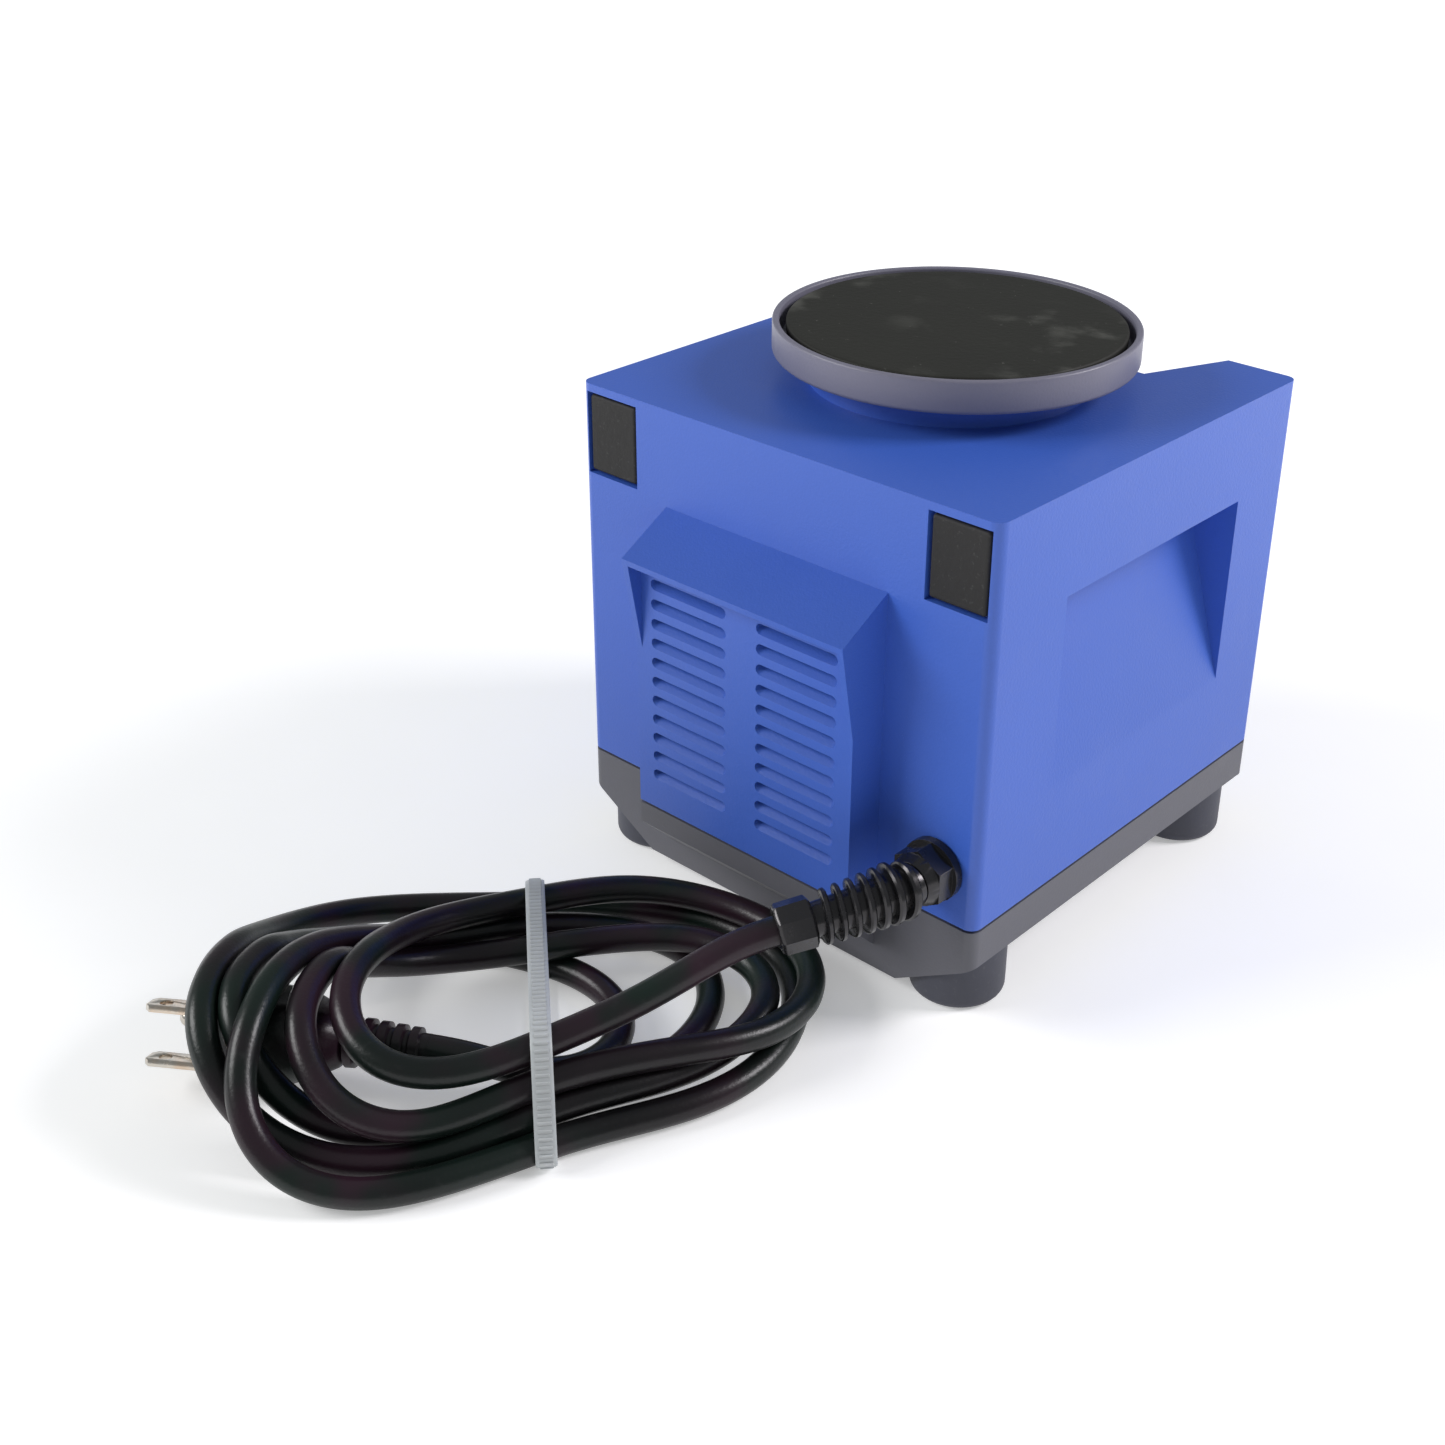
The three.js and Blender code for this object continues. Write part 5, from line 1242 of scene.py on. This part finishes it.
def make_panel(scene):
    """Control panel with its raised speed scale, lens and switch frame."""
    settings = scene.mixer_controls
    piece("panel_plate", rounded_copy("control_panel", 0.0004, 2), "grey", BODY_CHASSIS,
          ("control_panel",), tidy=False)
    piece("lens_dome", rounded_copy("indicator_lens", 0.0003, 2), "lens", BODY_CHASSIS,
          ("indicator_lens",), tidy=False)
    piece("switch_bezel", rounded_copy("switch_frame", 0.0004, 3), "satin", BODY_CHASSIS,
          ("switch_frame",), tidy=False)
    points, turns = [], []
    for k in range(settings.marks):
        turn = math.radians(-135 + 270 * k / (settings.marks - 1))
        points.append((15.2 * math.sin(-turn), 15.2 * math.cos(turn), -0.02))
        turns.append((0, 0, turn))
    scale = copies("scale", places_tree(), places_mesh(points, turns), bar(2.6, 0.6, 0.12), "print",
                   {"Size": 1.0})
    scale.transform(panel_matrix("speed_knob", PANEL_LIFT))
    piece("speed_scale", scale, "print", BODY_CHASSIS)


def make_switch():
    """The power rocker's key."""
    rocker = rounded_copy("power_rocker", 0.00035, 3)
    piece("rocker_key", rocker, "satin", BODY_ROCKER, ("power_rocker",), tidy=False)


INSIDE_FINISHES = {
    "knob_shaft": "shaft", "motor_plate": "zinc", "motor_can": "alu", "motor_stator": "copper",
    "lower_bearing": "shaft", "upper_bearing": "shaft", "motor_shaft": "shaft", "rotor_core": "iron",
    "cooling_fan": "satin", "eccentric_hub": "shaft", "counterweight": "iron", "carrier_bearing": "shaft",
    "dish_carrier": "alu", "dish_screw": "zinc", "seal_ring": "seal", "ballast_block": "iron",
    "control_board": "board", "capacitor": "gloss", "terminal_block": "nylon", "speed_pot": "zinc",
    "gland_body": "gloss", "gland_locknut": "zinc",
    **{f"motor_post_{k}": "zinc" for k in range(1, 5)},
}


def finish_inside():
    """Gives the works inside their finishes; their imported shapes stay."""
    for node, finish in INSIDE_FINISHES.items():
        paint(frame["nodes"][node], finish)


# ---------------------------------------------------------------- camera, floor and light
def make_camera(scene):
    """A camera above the rear right corner, looking down at the mixer."""
    azimuth, elevation, roll = (
        math.radians(a) for a in (CAMERA_AZIMUTH, CAMERA_ELEVATION, CAMERA_ROLL))
    back = Vector((math.sin(azimuth) * math.cos(elevation), -math.cos(azimuth) * math.cos(elevation),
                   math.sin(elevation)))
    right = Vector((math.cos(azimuth), math.sin(azimuth), 0))
    up = back.cross(right)
    tilted_right = right * math.cos(roll) + up * math.sin(roll)
    tilted_up = up * math.cos(roll) - right * math.sin(roll)
    place = (tilted_right * CAMERA_ASIDE + tilted_up * CAMERA_LIFT + back * CAMERA_DISTANCE
             + CAMERA_AIM) * MM
    lens = bpy.data.cameras.new("camera")
    lens.sensor_width = SENSOR_WIDTH
    lens.lens = FOCAL_LENGTH
    lens.shift_x, lens.shift_y = LENS_SHIFT
    camera = new_object("camera", lens)
    camera.matrix_world = Matrix.Translation(place) @ Matrix(
        (tilted_right, tilted_up, back)).transposed().to_4x4()
    scene.camera = camera


def soft_light(name, place, target, size, power, colour=(1, 1, 1)):
    """A square soft lamp at a place, aimed at a target."""
    light = bpy.data.lights.new(name, "AREA")
    light.shape = "RECTANGLE"
    light.size, light.size_y = size
    light.energy = power
    light.color = colour
    lamp = new_object(name, light)
    lamp.location = place
    lamp.rotation_euler = (Vector(target) - Vector(place)).to_track_quat("-Z", "Y").to_euler()


def make_stage(scene):
    """A pale floor that glows, dimly near the mixer and brightly further out as painted light, a white
    surround and soft lights.
    """
    size = 6.0
    mesh = bpy.data.meshes.new("floor")
    mesh.from_pydata(
        [(-size, -size, 0), (size, -size, 0), (size, size, 0), (-size, size, 0)], [], [(0, 1, 2, 3)])
    floor = new_object("floor", mesh)
    shader = Shader("floor white")
    paper = shader.noise(30, 2)
    distance = shader.node("ShaderNodeVectorMath", {"operation": "LENGTH"}, {0: shader.place}, output=1)
    floor.data.materials.append(shader.finish({
        "Base Color": shader.mix(paper, (0.88, 0.88, 0.88, 1), (0.91, 0.91, 0.91, 1)),
        "Roughness": 0.8 + paper * 0.05,
        # Painted light: the floor's glow is dim near the mixer and bright further out, so the far floor stays
        # white while the shadows near the mixer show.
        "Emission Color": shader.mix(distance.over(0.22, 0.9), (0.32, 0.32, 0.32, 1), (0.85, 0.85, 0.85, 1)),
    }, {"Specular IOR Level": 0.1, "Emission Strength": 1.0}))
    world = bpy.data.worlds.new("surround")
    world.use_nodes = True
    nodes, links = world.node_tree.nodes, world.node_tree.links
    room = nodes["Background"]
    room.inputs["Color"].default_value = (0.93, 0.98, 1.0, 1)
    room.inputs["Strength"].default_value = 0.30
    backdrop = nodes.new("ShaderNodeBackground")
    backdrop.inputs["Color"].default_value = (1, 1, 1, 1)
    backdrop.inputs["Strength"].default_value = 1.0
    seen = nodes.new("ShaderNodeLightPath")
    blend = nodes.new("ShaderNodeMixShader")
    links.new(seen.outputs["Is Camera Ray"], blend.inputs[0])
    links.new(room.outputs[0], blend.inputs[1])
    links.new(backdrop.outputs[0], blend.inputs[2])
    links.new(blend.outputs[0], nodes["World Output"].inputs["Surface"])
    scene.world = world
    scene.view_settings.view_transform = "Standard"
    soft_light("key", (-0.80, -0.72, 0.80), (0, 0.03, 0.05), (0.42, 0.42), 11, (1, 0.97, 1))
    soft_light("fill", (0.95, 1.0, 0.85), (0, 0.05, 0.05), (0.9, 0.6), 15)


# ---------------------------------------------------------------- operators
class MIXER_OT_camera(bpy.types.Operator):
    """Make the finishes and the camera above the mixer's rear corner"""

    bl_idname = "mixer.camera"
    bl_label = "Finishes and camera"

    def execute(self, context):
        Finishes.make(context.scene)
        make_camera(context.scene)
        return {"FINISHED"}


class MIXER_OT_cord(bpy.types.Operator):
    """Lay the mains lead, its strain relief, tie and plug"""

    bl_idname = "mixer.cord"
    bl_label = "Mains lead and plug"

    def execute(self, context):
        make_cord(context.scene)
        return {"FINISHED"}


class MIXER_OT_casing(bpy.types.Operator):
    """Build the housing, the base tray and the rear pads"""

    bl_idname = "mixer.casing"
    bl_label = "Housing, tray and pads"

    def execute(self, context):
        make_casing(context.scene)
        return {"FINISHED"}


class MIXER_OT_feet(bpy.types.Operator):
    """Build the rubber feet and the screws underneath"""

    bl_idname = "mixer.feet"
    bl_label = "Feet and screws"

    def execute(self, context):
        make_feet()
        make_screws()
        return {"FINISHED"}


class MIXER_OT_platform(bpy.types.Operator):
    """Build the orbiting dish and its mat"""

    bl_idname = "mixer.platform"
    bl_label = "Dish and mat"

    def execute(self, context):
        make_platform(context.scene)
        return {"FINISHED"}


class MIXER_OT_controls(bpy.types.Operator):
    """Build the control panel, the speed knob and the power rocker"""

    bl_idname = "mixer.controls"
    bl_label = "Controls"

    def execute(self, context):
        make_panel(context.scene)
        make_knob(context.scene)
        make_switch()
        return {"FINISHED"}


class MIXER_OT_works(bpy.types.Operator):
    """Finish the motor, drive and electrical parts inside"""

    bl_idname = "mixer.works"
    bl_label = "Works inside"

    def execute(self, context):
        finish_inside()
        return {"FINISHED"}


class MIXER_OT_stage(bpy.types.Operator):
    """Lay the floor and hang the soft lights"""

    bl_idname = "mixer.stage"
    bl_label = "Floor and lights"

    def execute(self, context):
        make_stage(context.scene)
        return {"FINISHED"}


STEPS = (
    MIXER_OT_camera, MIXER_OT_cord, MIXER_OT_casing, MIXER_OT_feet, MIXER_OT_platform,
    MIXER_OT_controls, MIXER_OT_works, MIXER_OT_stage,
)


class MIXER_PT_panel(bpy.types.Panel):
    """Build steps and their settings."""

    bl_label = "Vortex mixer"
    bl_idname = "MIXER_PT_panel"
    bl_space_type = "VIEW_3D"
    bl_region_type = "UI"
    bl_category = "Mixer"

    def draw(self, context):
        for owner in GROUPS:
            settings = getattr(context.scene, owner)
            for name in settings.__annotations__:
                self.layout.prop(settings, name)
        for step in STEPS:
            self.layout.operator(step.bl_idname)


GROUPS = {
    "mixer_casing": CasingSettings,
    "mixer_platform": PlatformSettings,
    "mixer_controls": ControlSettings,
    "mixer_cord": CordSettings,
}


def register():
    for owner, group in GROUPS.items():
        bpy.utils.register_class(group)
        setattr(bpy.types.Scene, owner, PointerProperty(type=group))
    for cls in (*STEPS, MIXER_PT_panel):
        bpy.utils.register_class(cls)


def unregister():
    for cls in reversed((*STEPS, MIXER_PT_panel)):
        bpy.utils.unregister_class(cls)
    for owner, group in reversed(GROUPS.items()):
        delattr(bpy.types.Scene, owner)
        bpy.utils.unregister_class(group)


def main():
    register()
    bpy.ops.mixer.camera()
    bpy.ops.mixer.cord()
    bpy.ops.mixer.casing()
    bpy.ops.mixer.feet()
    bpy.ops.mixer.platform()
    bpy.ops.mixer.controls()
    bpy.ops.mixer.works()
    bpy.ops.mixer.stage()


if __name__ == "__main__":
    main()
